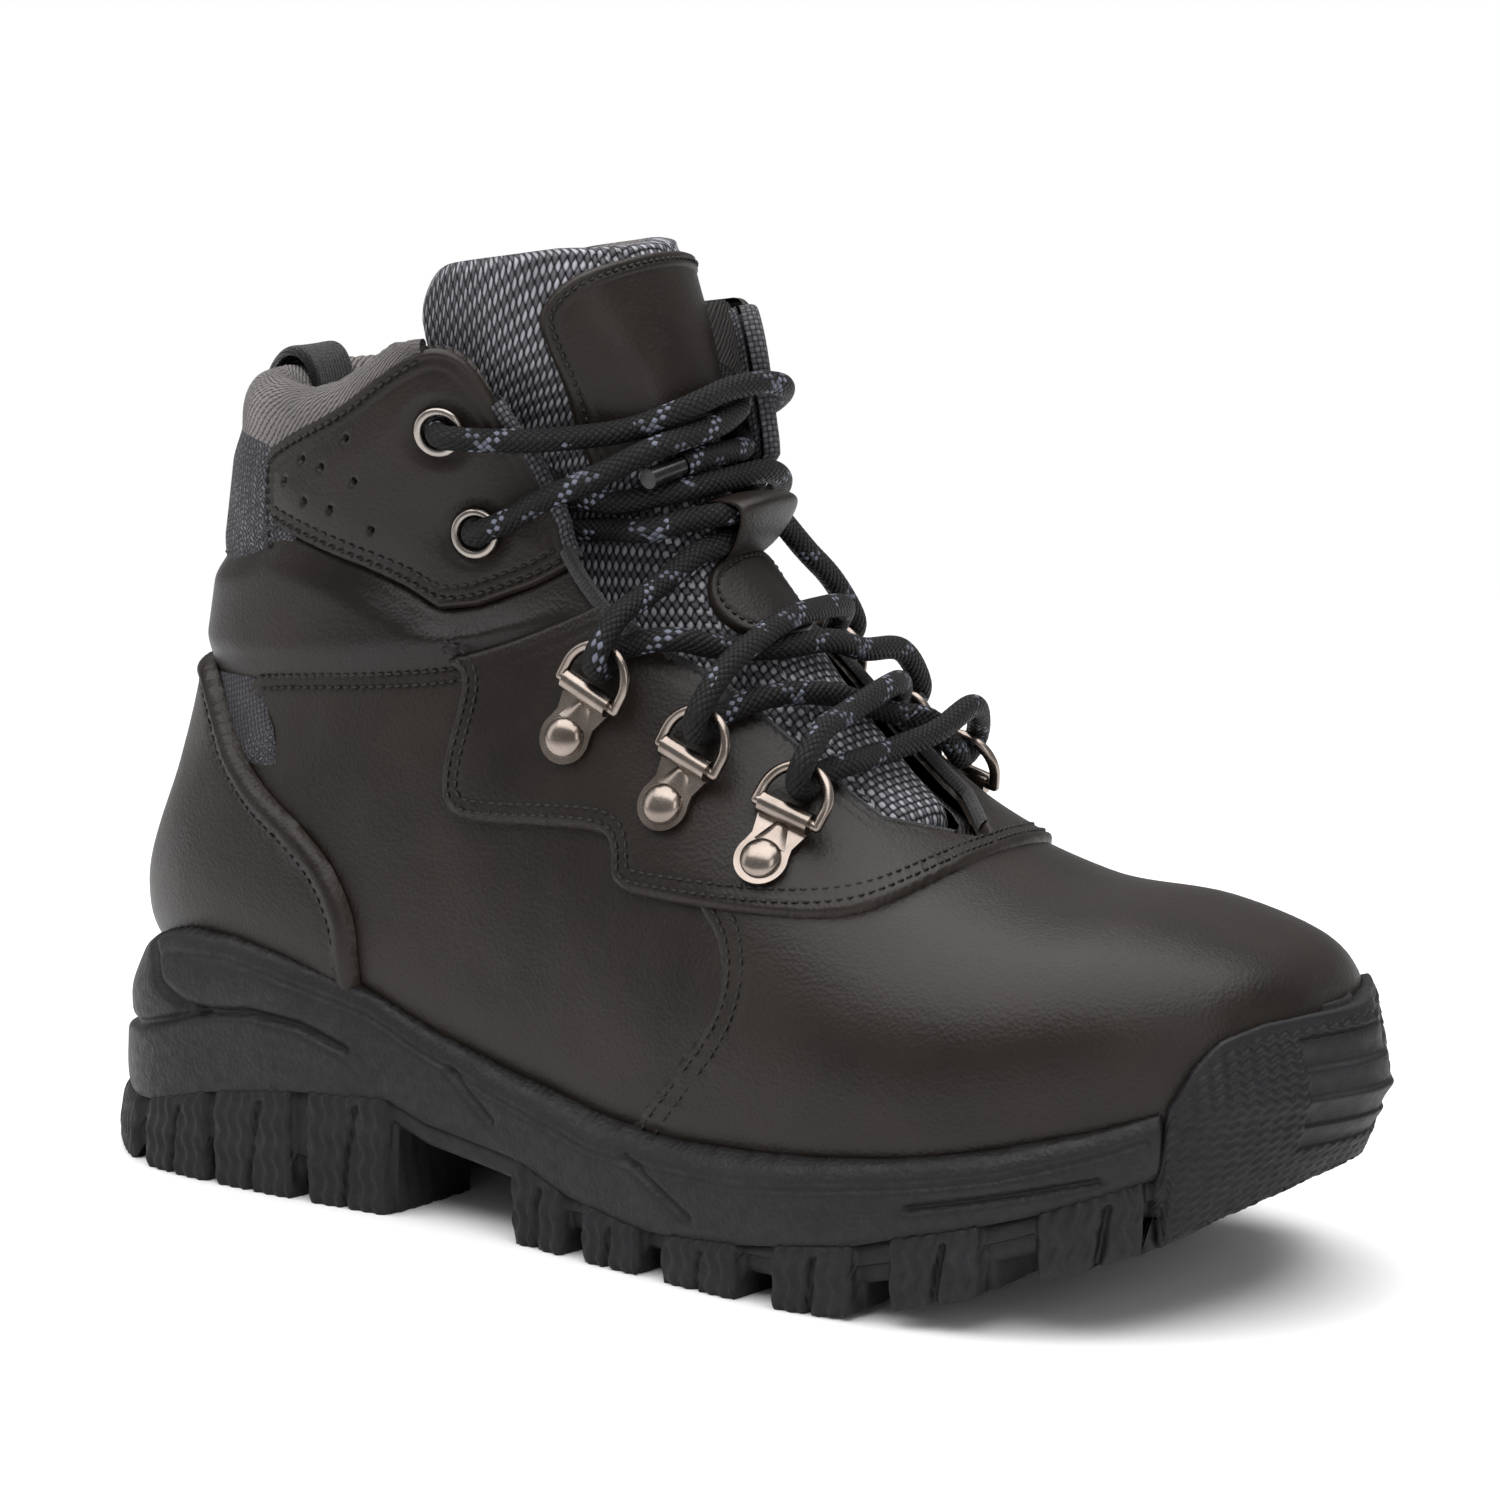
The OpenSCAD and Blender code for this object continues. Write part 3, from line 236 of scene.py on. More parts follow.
class Look:
    """A material and short calls that add nodes to it."""

    def __init__(self, name, roughness=0.5, **inputs):
        self.m = bpy.data.materials.new(name)
        self.m.use_nodes = True
        self.t = self.m.node_tree
        self.b = self.t.nodes["Principled BSDF"]
        self.b.inputs["Roughness"].default_value = roughness
        for k, v in inputs.items():
            self.b.inputs[k.replace("_", " ")].default_value = v

    def node(self, kind, *ins, **props):
        n = self.t.nodes.new(kind)
        for k, v in props.items():
            setattr(n, k, v)
        for i, v in enumerate(ins):
            self.put(v, n.inputs[i])
        return n

    def put(self, v, socket):
        if v is None:
            return
        if isinstance(v, bpy.types.NodeSocket):
            self.t.links.new(v, socket)
        else:
            socket.default_value = v

    def op(self, kind, a, b=None):
        return self.node("ShaderNodeMath", a, b, operation=kind).outputs[0]

    def mul(self, a, b):
        return self.op("MULTIPLY", a, b)

    def add(self, a, b):
        return self.op("ADD", a, b)

    def sine(self, a, turn=math.pi):
        return self.op("SINE", self.mul(a, turn))

    def where(self):
        return self.node("ShaderNodeTexCoord").outputs["Object"]

    def flat(self):
        """The two flat coordinates of the surface."""
        sep = self.node("ShaderNodeSeparateXYZ")
        self.put(self.attr("flat", "Vector"), sep.inputs[0])
        return sep.outputs[0], sep.outputs[1]

    def attr(self, name, out="Fac"):
        return self.node("ShaderNodeAttribute", attribute_name=name).outputs[out]

    def noise(self, scale, detail=3.0, vec=None, rough=0.5):
        n = self.node("ShaderNodeTexNoise")
        self.put(vec or self.where(), n.inputs["Vector"])
        n.inputs["Scale"].default_value = scale
        n.inputs["Detail"].default_value = detail
        n.inputs["Roughness"].default_value = rough
        return n.outputs["Fac"]

    def cells(self, scale, feature="F1", vec=None):
        n = self.node("ShaderNodeTexVoronoi", feature=feature)
        self.put(vec or self.where(), n.inputs["Vector"])
        n.inputs["Scale"].default_value = scale
        return n.outputs["Distance"]

    def ramp(self, v, lo, hi, a=0.0, b=1.0):
        n = self.node("ShaderNodeMapRange", v, lo, hi, a, b)
        n.clamp = True
        return n.outputs[0]

    def mix(self, f, a, b):
        n = self.node("ShaderNodeMix", data_type="RGBA")
        self.put(f, n.inputs[0])
        self.put(a, n.inputs[6])
        self.put(b, n.inputs[7])
        return n.outputs[2]

    def colour(self, c):
        self.put(c, self.b.inputs["Base Color"])

    def rough(self, r):
        self.put(r, self.b.inputs["Roughness"])

    def bump(self, *layers):
        """Bump layers of (height socket, distance in mm)."""
        normal = None
        for h, dist in layers:
            n = self.node("ShaderNodeBump")
            n.inputs["Strength"].default_value = 1.0
            n.inputs["Distance"].default_value = dist * 0.001
            self.put(h, n.inputs["Height"])
            if normal:
                self.put(normal, n.inputs["Normal"])
            normal = n.outputs[0]
        self.put(normal, self.b.inputs["Normal"])


def leather_look(name, dark=(23, 18, 15), light=(35, 29, 25), worn=(60, 53, 48)):
    k = Look(name, 0.4, Specular_IOR_Level=0.3)
    cloud = k.noise(45, 4)
    grain = k.cells(1500)
    fine = k.noise(3500, 2)
    base = k.mix(k.ramp(cloud, 0.3, 0.72), rgb(*dark), rgb(*light))
    edge = k.mul(k.attr("edge"), k.ramp(k.noise(260, 3), 0.3, 0.7, 0.25, 0.9))
    k.colour(k.mix(k.mul(edge, 0.55), base, rgb(*worn)))
    k.rough(k.ramp(k.add(k.mul(cloud, 0.5), k.mul(fine, 0.5)), 0.3, 0.7, 0.36, 0.52))
    k.bump((k.noise(70, 3), 0.28), (grain, 0.055), (fine, 0.02))
    return k.m


def weave_height(k, u, v):
    """Height and over-under mask of a plain weave with one thread per unit of u and v."""
    fu, fv = k.op("FRACT", u), k.op("FRACT", v)
    par = k.add(k.op("FLOOR", u), k.op("FLOOR", v))
    over = k.op("FRACT", k.mul(k.add(par, 0.01), 0.5))
    over = k.op("GREATER_THAN", over, 0.25)
    su, sv = k.sine(fu), k.sine(fv)
    warp, weft = (k.mul(k.op("POWER", a, 0.4), k.add(0.35, k.mul(b, 0.65)))
                  for a, b in ((su, sv), (sv, su)))
    n = k.node("ShaderNodeMix", data_type="FLOAT")
    for i, v in ((0, over), (2, warp), (3, weft)):
        k.put(v, n.inputs[i])
    return n.outputs[0], over


def wobbly(k, su, sv):
    """The flat coordinates in threads, a little uneven."""
    u, v = k.flat()
    wob = k.mul(k.op("SUBTRACT", k.noise(220, 2), 0.5), 0.35)
    return k.add(k.mul(u, su), wob), k.add(k.mul(v, sv), wob)


# dark is the colour of random darker patches, and also painted shade in the gaps between threads
def woven_look(name, pitch, warp, weft, dark, rough=0.7, depth=0.35, sheen=0.25):
    k = Look(name, rough, Specular_IOR_Level=0.3)
    k.b.inputs["Sheen Weight"].default_value = sheen
    u, v = wobbly(k, 1 / pitch, 1 / pitch)
    h, over = weave_height(k, u, v)
    strands = k.sine(k.add(u, v), 2 * math.pi * 4)
    tone = k.mix(over, rgb(*warp), rgb(*weft))
    tone = k.mix(k.ramp(k.noise(160, 3), 0.35, 0.7, 0, 0.45), tone, rgb(*dark))
    # Painted shade: the low parts of the weave, the gaps between threads, take the dark colour
    k.colour(k.mix(k.ramp(h, 0.35, 0.8), rgb(*dark), tone))
    k.bump((h, depth), (strands, 0.03), (k.noise(2500, 2), 0.05))
    return k.m


# dark is the colour of random darker patches, and also painted shade in the valleys between ribs
def rib_look(name, pitch, crest, dark, depth=0.3):
    k = Look(name, 0.85, Specular_IOR_Level=0.3)
    k.b.inputs["Sheen Weight"].default_value = 0.1
    u, v = wobbly(k, 1 / pitch, 1 / (pitch * 0.6))
    rib = k.op("POWER", k.op("ABSOLUTE", k.sine(u)), 0.7)
    loops = k.op("ABSOLUTE", k.sine(k.add(v, k.mul(rib, 0.6))))
    h = k.add(k.mul(rib, 0.7), k.mul(loops, 0.3))
    tone = k.mix(k.ramp(k.noise(90, 3), 0.3, 0.7, 0, 0.4), rgb(*crest), rgb(*dark))
    # Painted shade: the low parts between the ribs take the dark colour
    k.colour(k.mix(k.ramp(h, 0.2, 0.75), rgb(*dark), tone))
    k.bump((h, depth), (k.noise(2600, 2), 0.08))
    return k.m


def rubber_look(name, tone, light, rough, stipple, depth):
    k = Look(name, rough, Specular_IOR_Level=0.33)
    cloud = k.noise(60, 4)
    dots = k.cells(stipple)
    k.colour(k.mix(k.ramp(cloud, 0.3, 0.75), rgb(*tone), rgb(*light)))
    k.rough(k.ramp(k.noise(500, 3), 0.3, 0.7, rough - 0.07, rough + 0.1))
    k.bump((dots, depth), (k.noise(stipple * 2.2, 2), depth * 0.4))
    return k.m


def metal_look(name, tone, light, rough=0.3):
    k = Look(name, rough, Metallic=1.0)
    stretch = k.node("ShaderNodeMapping")
    k.put(k.where(), stretch.inputs["Vector"])
    stretch.inputs["Scale"].default_value = (1, 9, 9)
    brushed = k.noise(900, 3, stretch.outputs[0])
    cloud = k.noise(180, 4)
    k.colour(k.mix(k.ramp(cloud, 0.3, 0.7), rgb(*tone), rgb(*light)))
    k.rough(k.ramp(k.add(k.mul(brushed, 0.6), k.mul(cloud, 0.4)),
                   0.3, 0.7, rough - 0.05, rough + 0.08))
    k.bump((brushed, 0.004), (k.noise(1500, 2), 0.004))
    return k.m


def plain_look(name, tone, light, rough, scale, depth):
    k = Look(name, rough)
    k.colour(k.mix(k.ramp(k.noise(scale, 3), 0.3, 0.7), rgb(*tone), rgb(*light)))
    k.rough(k.ramp(k.noise(scale * 1.7, 3), 0.3, 0.7, rough - 0.06, rough + 0.08))
    k.bump((k.noise(scale * 3, 3), depth))
    return k.m


def lace_look():
    """Round braid: flat holds the length and the turn, in yarns."""
    k = Look("lace_braid", 0.6, Specular_IOR_Level=0.25)
    along, round_it = k.flat()
    a = k.add(along, round_it)
    b = k.op("SUBTRACT", along, round_it)
    h, over = weave_height(k, a, b)

    def every(x, n, at):
        r = k.mul(k.op("FRACT", k.op("DIVIDE", k.add(x, 0.001 - at), n)), n)
        return k.op("LESS_THAN", r, 2.0)

    fleck_a = k.mul(every(a, 10.0, 0.0), k.op("SUBTRACT", 1.0, over))
    fleck_b = k.mul(every(b, 20.0, 4.0), over)
    some = k.op("GREATER_THAN", k.noise(95, 1), 0.47)
    fleck = k.mul(k.op("MAXIMUM", fleck_a, k.mul(fleck_b, 0.6)), some)
    tone = k.mix(fleck, rgb(22, 21, 22), rgb(104, 107, 120))
    # Painted shade: the low parts of the braid, between its yarns, go near black
    k.colour(k.mix(k.ramp(h, 0.15, 0.7), rgb(5, 5, 6), tone))
    k.bump((h, 0.3), (k.noise(4200, 2), 0.05))
    return k.m


LEATHER = leather_look("upper_leather")
LEATHER_SOFT = leather_look("upper_leather_soft", (21, 16, 14), (33, 27, 24), (55, 49, 45))
# In the woven and ribbed looks, the last colour is random darker patches and also painted shade
# between threads and ribs
MESH = woven_look("upper_mesh", 0.95, (112, 109, 115), (84, 83, 89), (26, 26, 29), 0.75, 0.3, 0.05)
WEAVE = woven_look("tongue_weave", 1.35, (186, 184, 193), (104, 103, 110), (12, 12, 13), 0.5,
                   0.6, 0.0)
KNIT = rib_look("lining_knit", 1.5, (124, 119, 117), (28, 26, 26), 0.55)
CLOTH = woven_look("gusset_cloth", 0.7, (40, 40, 44), (32, 32, 36), (15, 15, 17), 0.8, 0.2)
RUBBER = rubber_look("outsole_rubber", (21, 19, 21), (29, 27, 30), 0.55, 2600, 0.05)
FOAM = rubber_look("midsole_rubber", (21, 19, 19), (28, 25, 25), 0.56, 1250, 0.1)
METAL = metal_look("hardware_metal", (122, 112, 105), (152, 141, 133), 0.22)
METAL_DARK = metal_look("eyelet_metal", (130, 124, 118), (160, 153, 147), 0.2)
THREAD = plain_look("thread", (9, 8, 8), (20, 18, 17), 0.55, 2400, 0.08)
TAPE = woven_look("webbing", 0.8, (26, 26, 28), (20, 20, 22), (8, 8, 9), 0.7, 0.3)
BOARD = plain_look("board", (150, 134, 105), (170, 153, 122), 0.8, 300, 0.1)
BED = woven_look("footbed_foam", 0.8, (60, 61, 66), (50, 51, 56), (28, 28, 31), 0.85, 0.2)
PLASTIC = plain_look("aglet_plastic", (18, 18, 19), (30, 30, 31), 0.25, 400, 0.02)
STEEL = metal_look("shank_steel", (150, 150, 154), (176, 176, 180), 0.35)
BRAID = lace_look()


# ---------------------------------------------------------------- mesh builders
def piece(name, points, faces, look, nodes=(), flat=None, edge=None):
    me = bpy.data.meshes.new(name)
    pts = (np.asarray(points, float) + SHIFT) * 0.001
    me.from_pydata(pts.tolist(), [], faces.tolist() if isinstance(faces, np.ndarray) else faces)
    me.validate()
    if flat is not None:
        me.attributes.new("flat", "FLOAT_VECTOR", "POINT").data.foreach_set(
            "vector", np.hstack([flat, np.zeros((len(flat), 1))]).astype(np.float32).ravel())
    if edge is not None:
        me.attributes.new("edge", "FLOAT", "POINT").data.foreach_set(
            "value", np.asarray(edge, np.float32).ravel())
    me.polygons.foreach_set("use_smooth", [True] * len(me.polygons))
    me.materials.append(look)
    ob = put_in_scene(name, me)
    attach(ob, "boot")
    if nodes:
        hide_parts(*nodes)
    return ob


def grid_faces(m, n, wrap=False):
    i, j = np.meshgrid(np.arange(m - 1), np.arange(n if wrap else n - 1), indexing="ij")
    a = i * n + j
    b = i * n + (j + 1) % n
    return np.stack([a, b, b + n, a + n], -1).reshape(-1, 4)


def used_only(points, faces, *extra):
    used = np.unique(faces)
    new = np.full(len(points), -1)
    new[used] = np.arange(len(used))
    return (points[used], new[faces]) + tuple(None if e is None else e[used] for e in extra)


def grid_phi_scale(P, phi):
    """Turns a side-view distance into a distance along the surface."""
    ps, pa = np.gradient(P, axis=0), np.gradient(P, axis=1)
    fs, fa = np.gradient(phi, axis=0), np.gradient(phi, axis=1)
    E, F, G = (ps * ps).sum(-1), (ps * pa).sum(-1), (pa * pa).sum(-1)
    g2 = (G * fs ** 2 - 2 * F * fs * fa + E * fa ** 2) / np.maximum(E * G - F * F, 1e-9)
    return phi / np.clip(np.sqrt(np.maximum(g2, 0)), 0.3, 3)


def round_min(p, q, r):
    """The smaller of two distances, with the corner between them rounded by r."""
    u, w = np.maximum(r - p, 0), np.maximum(r - q, 0)
    return np.where((u > 0) & (w > 0), r - np.hypot(u, w), np.minimum(p, q))


def patch(name, look, nodes, outline, s=(0, 15), a=(-180, 180), ds=0.06, da=1.0,
          height=0.0, drop=1.2, edge_r=0.8, base=None, relief=None, throat_in=None, flip=False,
          extra_phi=None, corner=0.0):
    """A sheet of the upper inside a side-view outline, over sections s and angles a.

    It lies at height over the base surface, and its edges round down by drop within edge_r.
    throat_in keeps it clear of the throat, extra_phi is one more distance to its edge, and
    corner rounds the corner where two edges meet.
    """
    S, A = np.meshgrid(np.arange(s[0], s[1] + ds / 2, ds), np.arange(a[0], a[1] + da / 2, da),
                       indexing="ij")
    P = oval(S, A)
    phi = np.full(S.shape, 1e3)
    if outline is not None:
        phi = grid_phi_scale(P, inside_distance(P[..., 0], P[..., 2], chaikin(outline)))
    if throat_in is not None:
        per = np.linalg.norm(oval(S, A + 1) - oval(S, A), axis=-1)
        to_throat = (np.abs(A) - throat(S, A)) * per - throat_in
        phi = round_min(phi, np.where(S > THROAT_START, to_throat, 50), corner)
    if extra_phi is not None:
        phi = round_min(phi, extra_phi(S, A, P), corner if outline is TONGUE else 0.0)
    inside = phi > 0
    best = np.full(S.shape, 9.0)
    S2, A2 = S.copy(), A.copy()
    for di in (-1, 0, 1):
        for dj in (-1, 0, 1):
            if not (di or dj):
                continue
            ok = ~inside & shifted(inside, di, dj, False)
            t = phi / np.minimum(phi - shifted(phi, di, dj, 0.0), -1e-9)
            t = np.where(ok, t, 9.0)
            dist = t * math.hypot(di, dj)
            take = ok & (dist < best)
            best = np.where(take, dist, best)
            S2 = np.where(take, S + t * di * ds, S2)
            A2 = np.where(take, A + t * dj * da, A2)
    snapped = best < 9
    phi = np.where(snapped, 0.0, phi)
    S2 = np.clip(S2, 0, 15)
    P = oval(S2, A2)
    q = np.clip(phi / edge_r, 0, 1)
    d = height - drop * (1 - np.sqrt(np.clip(1 - (1 - q) ** 2, 0, 1)))
    if base is not None:
        d = d + base(S2, A2)
    if relief is not None:
        d = d + relief(S2, A2, P, phi)
    pts = skin(S2, A2, d).reshape(-1, 3)
    ok = (inside | snapped).ravel()
    f = grid_faces(*S.shape)
    f = f[ok[f].all(1) & inside.ravel()[f].any(1)]
    if not flip:
        f = f[:, ::-1]
    arc = lengths(P, 1)
    mid = np.abs(A[0]).argmin() if a[0] < 0 < a[1] else 0
    arc = arc - arc[:, mid:mid + 1]
    flat = np.stack([arc, lengths(P)], -1).reshape(-1, 2)
    edge = np.exp(-np.maximum(phi, 0) / 0.7).ravel()
    pts, f, flat, edge = used_only(pts, f, flat, edge)
    return piece(name, pts, f, look, nodes, flat, edge)


def shifted(q, di, dj, fill):
    out = np.full(q.shape, fill, q.dtype)
    n, m = q.shape
    out[max(0, -di):n - max(0, di), max(0, -dj):m - max(0, dj)] = \
        q[max(0, di):n - max(0, -di), max(0, dj):m - max(0, -dj)]
    return out


def smooth_noise(P, size, seed=0):
    """Cheap smooth noise, about -1 to 1, from a few crossed waves."""
    r = np.random.default_rng(seed)
    out = 0
    for _ in range(6):
        k = r.normal(size=3)
        k *= 2 * math.pi / (size * r.uniform(0.7, 1.5)) / np.linalg.norm(k)
        out = out + np.sin(P @ k + r.uniform(0, 6.28))
    return out / 3


# ---------------------------------------------------------------- camera, light and stage
scene = bpy.context.scene
TARGET = Vector((0.00875, 0, 0.0784))
CAM_BACK = Vector((0.5155, -0.8380, 0.1788))
CAM_DISTANCE = 0.8
FADE_FROM, FADE_TO = 0.3, 0.75


def put_in_scene(name, data, at=(0, 0, 0), facing=None):
    ob = bpy.data.objects.new(name, data)
    scene.collection.objects.link(ob)
    ob.location = at
    if facing is not None:
        ob.rotation_mode = "QUATERNION"
        ob.rotation_quaternion = facing.to_track_quat("-Z", "Y")
    return ob


def area_light(name, at, size, power, aim=(0, 0, 0.06)):
    light = bpy.data.lights.new(name, "AREA")
    light.shape, light.size, light.size_y, light.energy = "RECTANGLE", size[0], size[1], power
    put_in_scene(name, light, at, Vector(aim) - Vector(at))


cam = put_in_scene("camera", bpy.data.cameras.new("camera"), TARGET + CAM_BACK * CAM_DISTANCE,
                   -CAM_BACK)
cam.data.lens, cam.data.sensor_width = 116.6, 36
cam.data.clip_start, cam.data.clip_end = 0.05, 20
scene.camera = cam
scene.view_settings.view_transform = "Standard"

# The backdrop is white where it is seen, and dimmer as a light
world = bpy.data.worlds.new("studio")
scene.world = world
world.use_nodes = True
wt = world.node_tree
ray = wt.nodes.new("ShaderNodeLightPath")
level = wt.nodes.new("ShaderNodeMapRange")
level.inputs[3].default_value, level.inputs[4].default_value = 0.33, 1.05
wt.links.new(ray.outputs["Is Camera Ray"], level.inputs[0])
wt.links.new(level.outputs[0], wt.nodes["Background"].inputs[1])
wt.nodes["Background"].inputs[0].default_value = (1, 1, 1, 1)
area_light("top_soft", (0.0, -0.1, 1.5), (2.4, 2.4), 56)
area_light("front_soft", (0.95, -0.55, 0.45), (0.35, 0.6), 1.6)
area_light("left_soft", (-0.9, -0.5, 0.5), (0.4, 0.8), 1.6)

# The floor fades into the white backdrop away from the boot
floor = bpy.data.meshes.new("floor")
floor.from_pydata([(-40, -40, 0), (40, -40, 0), (40, 40, 0), (-40, 40, 0)], [], [(0, 1, 2, 3)])
k = Look("floor_pale", 0.9)
k.colour(k.mix(k.noise(3, 2), (0.93, 0.93, 0.935, 1), (0.95, 0.95, 0.955, 1)))
away = k.node("ShaderNodeVectorMath", k.where(), operation="LENGTH").outputs["Value"]
glow = k.node("ShaderNodeEmission", (1, 1, 1, 1), 1.0)
fade = k.node("ShaderNodeMixShader", k.ramp(away, FADE_FROM, FADE_TO))
for a, b in ((k.b.outputs[0], fade.inputs[1]), (glow.outputs[0], fade.inputs[2]),
             (fade.outputs[0], k.t.nodes["Material Output"].inputs[0])):
    k.t.links.new(a, b)
floor.materials.append(k.m)
put_in_scene("floor", floor)

# ---------------------------------------------------------------- upper panels
WRINKLE = lambda S, A, P: 0.25 * smooth_noise(P, 26, 3) + 0.12 * smooth_noise(P, 11, 5)


def groove(phi, at, width=0.35, depth=0.3):
    return -depth * np.exp(-((phi - at) / width) ** 2)


patch("vamp_leather", LEATHER, ["vamp"], VAMP, s=(0, 7), height=0.35, drop=1.1, edge_r=0.9,
      throat_in=0.0,
      relief=lambda S, A, P, f: 0.12 * smooth_noise(P, 30, 1) * ease(f / 5)
      + groove(f, 1.8) + groove(f, 4.2))
for side, sgn in (("lateral", 1), ("medial", -1)):
    rng_a = (0, 180) if sgn > 0 else (-180, 0)
    patch("quarter_leather_" + side, LEATHER, ["quarter_" + side], QUARTER, s=(3.5, 12),
          a=rng_a, ds=0.045, height=-0.15, drop=0.9, edge_r=0.8, throat_in=0.0,
          base=lift, relief=lambda S, A, P, f: 0.4 * WRINKLE(S, A, P) * ease(f / 6)
          + groove(f, 1.6) + groove(f, 3.6))
patch("heel_mesh_cloth", MESH, ["heel_mesh"], MESH_BACK, s=(6, 13), ds=0.045, height=-0.7,
      drop=0.3, relief=lambda S, A, P, f: 0.9 * np.exp(-((P[..., 2] - 79) / 7) ** 2))
band_ob = patch("ankle_band_leather", LEATHER_SOFT, ["ankle_band"], BAND, s=(6.5, 14), ds=0.045,
      height=-0.35, drop=1.0, edge_r=1.2, throat_in=0.0, base=lift,
      relief=lambda S, A, P, f: 2.3 * ease(f / 7) * ease((-8 - P[..., 0]) / 22)
      + 0.35 * WRINKLE(S, A, P) * ease(f / 4))
patch("back_panel_cloth", MESH, ["back_panel"], BACK, s=(10, 15), ds=0.04, height=-0.2,
      drop=0.5, relief=lambda S, A, P, f: 1.2 * ease(f / 8))


CUFF_HOLES = {1: [(-35.1, 131.6), (-30.6, 114.8)], -1: [(-10.6, 130.8), (-11.3, 115.4)]}


def cuff_relief(S, A, P, f):
    full = 1.0 * ease(f / 9) + 0.3 * WRINKLE(S, A, P) * ease(f / 5)
    for x, z in CUFF_HOLES[1 if A.mean() > 0 else -1]:
        r = np.hypot(P[..., 0] - x, P[..., 2] - z)
        full = full * ease((r - 3.4) / 3.5) - 0.12 * (1 - ease((r - 3.8) / 2.5))
    d = full + groove(f, 1.5) + groove(f, 3.4, 0.3, 0.22)
    for x, z in PERFS:
        r = np.hypot(P[..., 0] - x, P[..., 2] - z)
        d = d - 1.6 * (1 - ease((r - 0.3) / 0.45))
    return d


below_cuff = np.array([[-140, 60]] + CUFF_LOW + [[10, 60]], float)
above_low = lambda S, A, P: -inside_distance(P[..., 0], P[..., 2], below_cuff)
patch("cuff_lateral_leather", LEATHER, ["cuff_lateral"], CUFF_BACK + CUFF_FRONT, s=(8, 15),
      a=(20, 180), ds=0.03, da=0.5, height=0.5, drop=1.3, edge_r=0.9, throat_in=0.4,
      relief=cuff_relief, extra_phi=above_low)
patch("cuff_medial_leather", LEATHER, ["cuff_medial"], CUFF_BACK + CUFF_FRONT_MEDIAL, s=(8, 15),
      a=(-180, -15), ds=0.04, da=0.7, height=0.5, drop=1.3, edge_r=0.9, throat_in=0.4,
      base=lift, corner=7, relief=cuff_relief, extra_phi=above_low)
patch("facing_leather", LEATHER, ["facing"], FACING, s=(3.5, 9.2), ds=0.035, da=0.8, height=1.9,
      drop=1.9, edge_r=1.1, throat_in=0.3, base=lift,
      relief=lambda S, A, P, f: groove(f, 1.7) + groove(f, 3.4, 0.3, 0.25)
      + 0.12 * smooth_noise(P, 20, 8) * ease(f / 5))
patch("heel_counter_leather", LEATHER, ["heel_counter"], COUNTER, s=(6.5, 13), ds=0.04,
      height=1.9, drop=1.9, edge_r=1.3,
      relief=lambda S, A, P, f: 0.8 * np.exp(-((f - 2.2) / 1.3) ** 2) * ease((60 + P[..., 2]) / 9)
      + groove(f, 4.4) + 0.15 * smooth_noise(P, 30, 9) * ease(f / 8))
LINING = [[130, 90], [130, 5], [-130, 5], [-130, 132], [-75, 132], [-67, 131], [-52, 136],
          [-44, 141], [-39, 144.5]]
patch("lining_knit_inside", KNIT, ["lining"], LINING + CUFF_FRONT[:-1] + [[4, 100]], s=(2, 15),
      a=(0, 180), ds=0.08, da=1.5, drop=0, throat_in=0.6,
      base=lambda S, A: -lining_depth(S, A) - 1.2, flip=True)
patch("lining_knit_medial", KNIT, [], LINING + CUFF_FRONT_MEDIAL[:-1] + [[20, 100]], s=(2, 15),
      a=(-180, 0), ds=0.08, da=1.5, drop=0, throat_in=0.6, corner=7,
      base=lambda S, A: 1.08 * lift(S - 0.19, A) - lining_depth(S, A) - 1.2, flip=True)


# padded collar roll
def crossing(line, a):
    """Section at which the surface at angle a passes the side-view line."""
    s = np.linspace(9.5, 15, 400)
    P = oval(s[None, :], a[:, None])
    above = P[..., 2] - interp(P[..., 0].ravel(), line).reshape(P.shape[:2])
    k = (above > 0).argmax(1)
    return s[k]


def collar_size(a):
    """Lower section, mm per section, height and depth of the collar roll at angles a."""
    low, top = crossing(COLLAR_LOW, a), crossing(COLLAR_TOP, a)
    up = np.linalg.norm(oval(low + 0.1, a) - oval(low, a), axis=-1) / 0.1
    return low, up, np.maximum((top - low) * up, 1.2) + 1.0, lining_depth(low, a) + 1.2


def rows_of(heights, a):
    return np.broadcast_to(heights, (len(heights), len(a)))


def collar(name, a, nodes):
    low, up, H, D = collar_size(a)
    T = rows_of(np.linspace(-0.25, math.pi, 34)[:, None], a)
    h = H * np.sign(np.sin(T)) * np.abs(np.sin(T)) ** 0.85
    d = -D / 2 + (D / 2 + 0.9 * np.sin(np.clip(T, 0, math.pi))) * np.cos(T)
    tail = rows_of(np.linspace(0, -9, 10)[1:, None], a)
    h = np.vstack([h, tail])
    d = np.vstack([d, 0 * tail - D - 0.2])
    pts = skin(low + h / up, np.broadcast_to(a, h.shape), d + lift(low, a))
    ob = piece(name, pts.reshape(-1, 3), grid_faces(*h.shape), KNIT, nodes,
               flat_of(pts))


collar("collar_roll", np.arange(-70, -290, -0.7) % 360, ["collar_trim"])


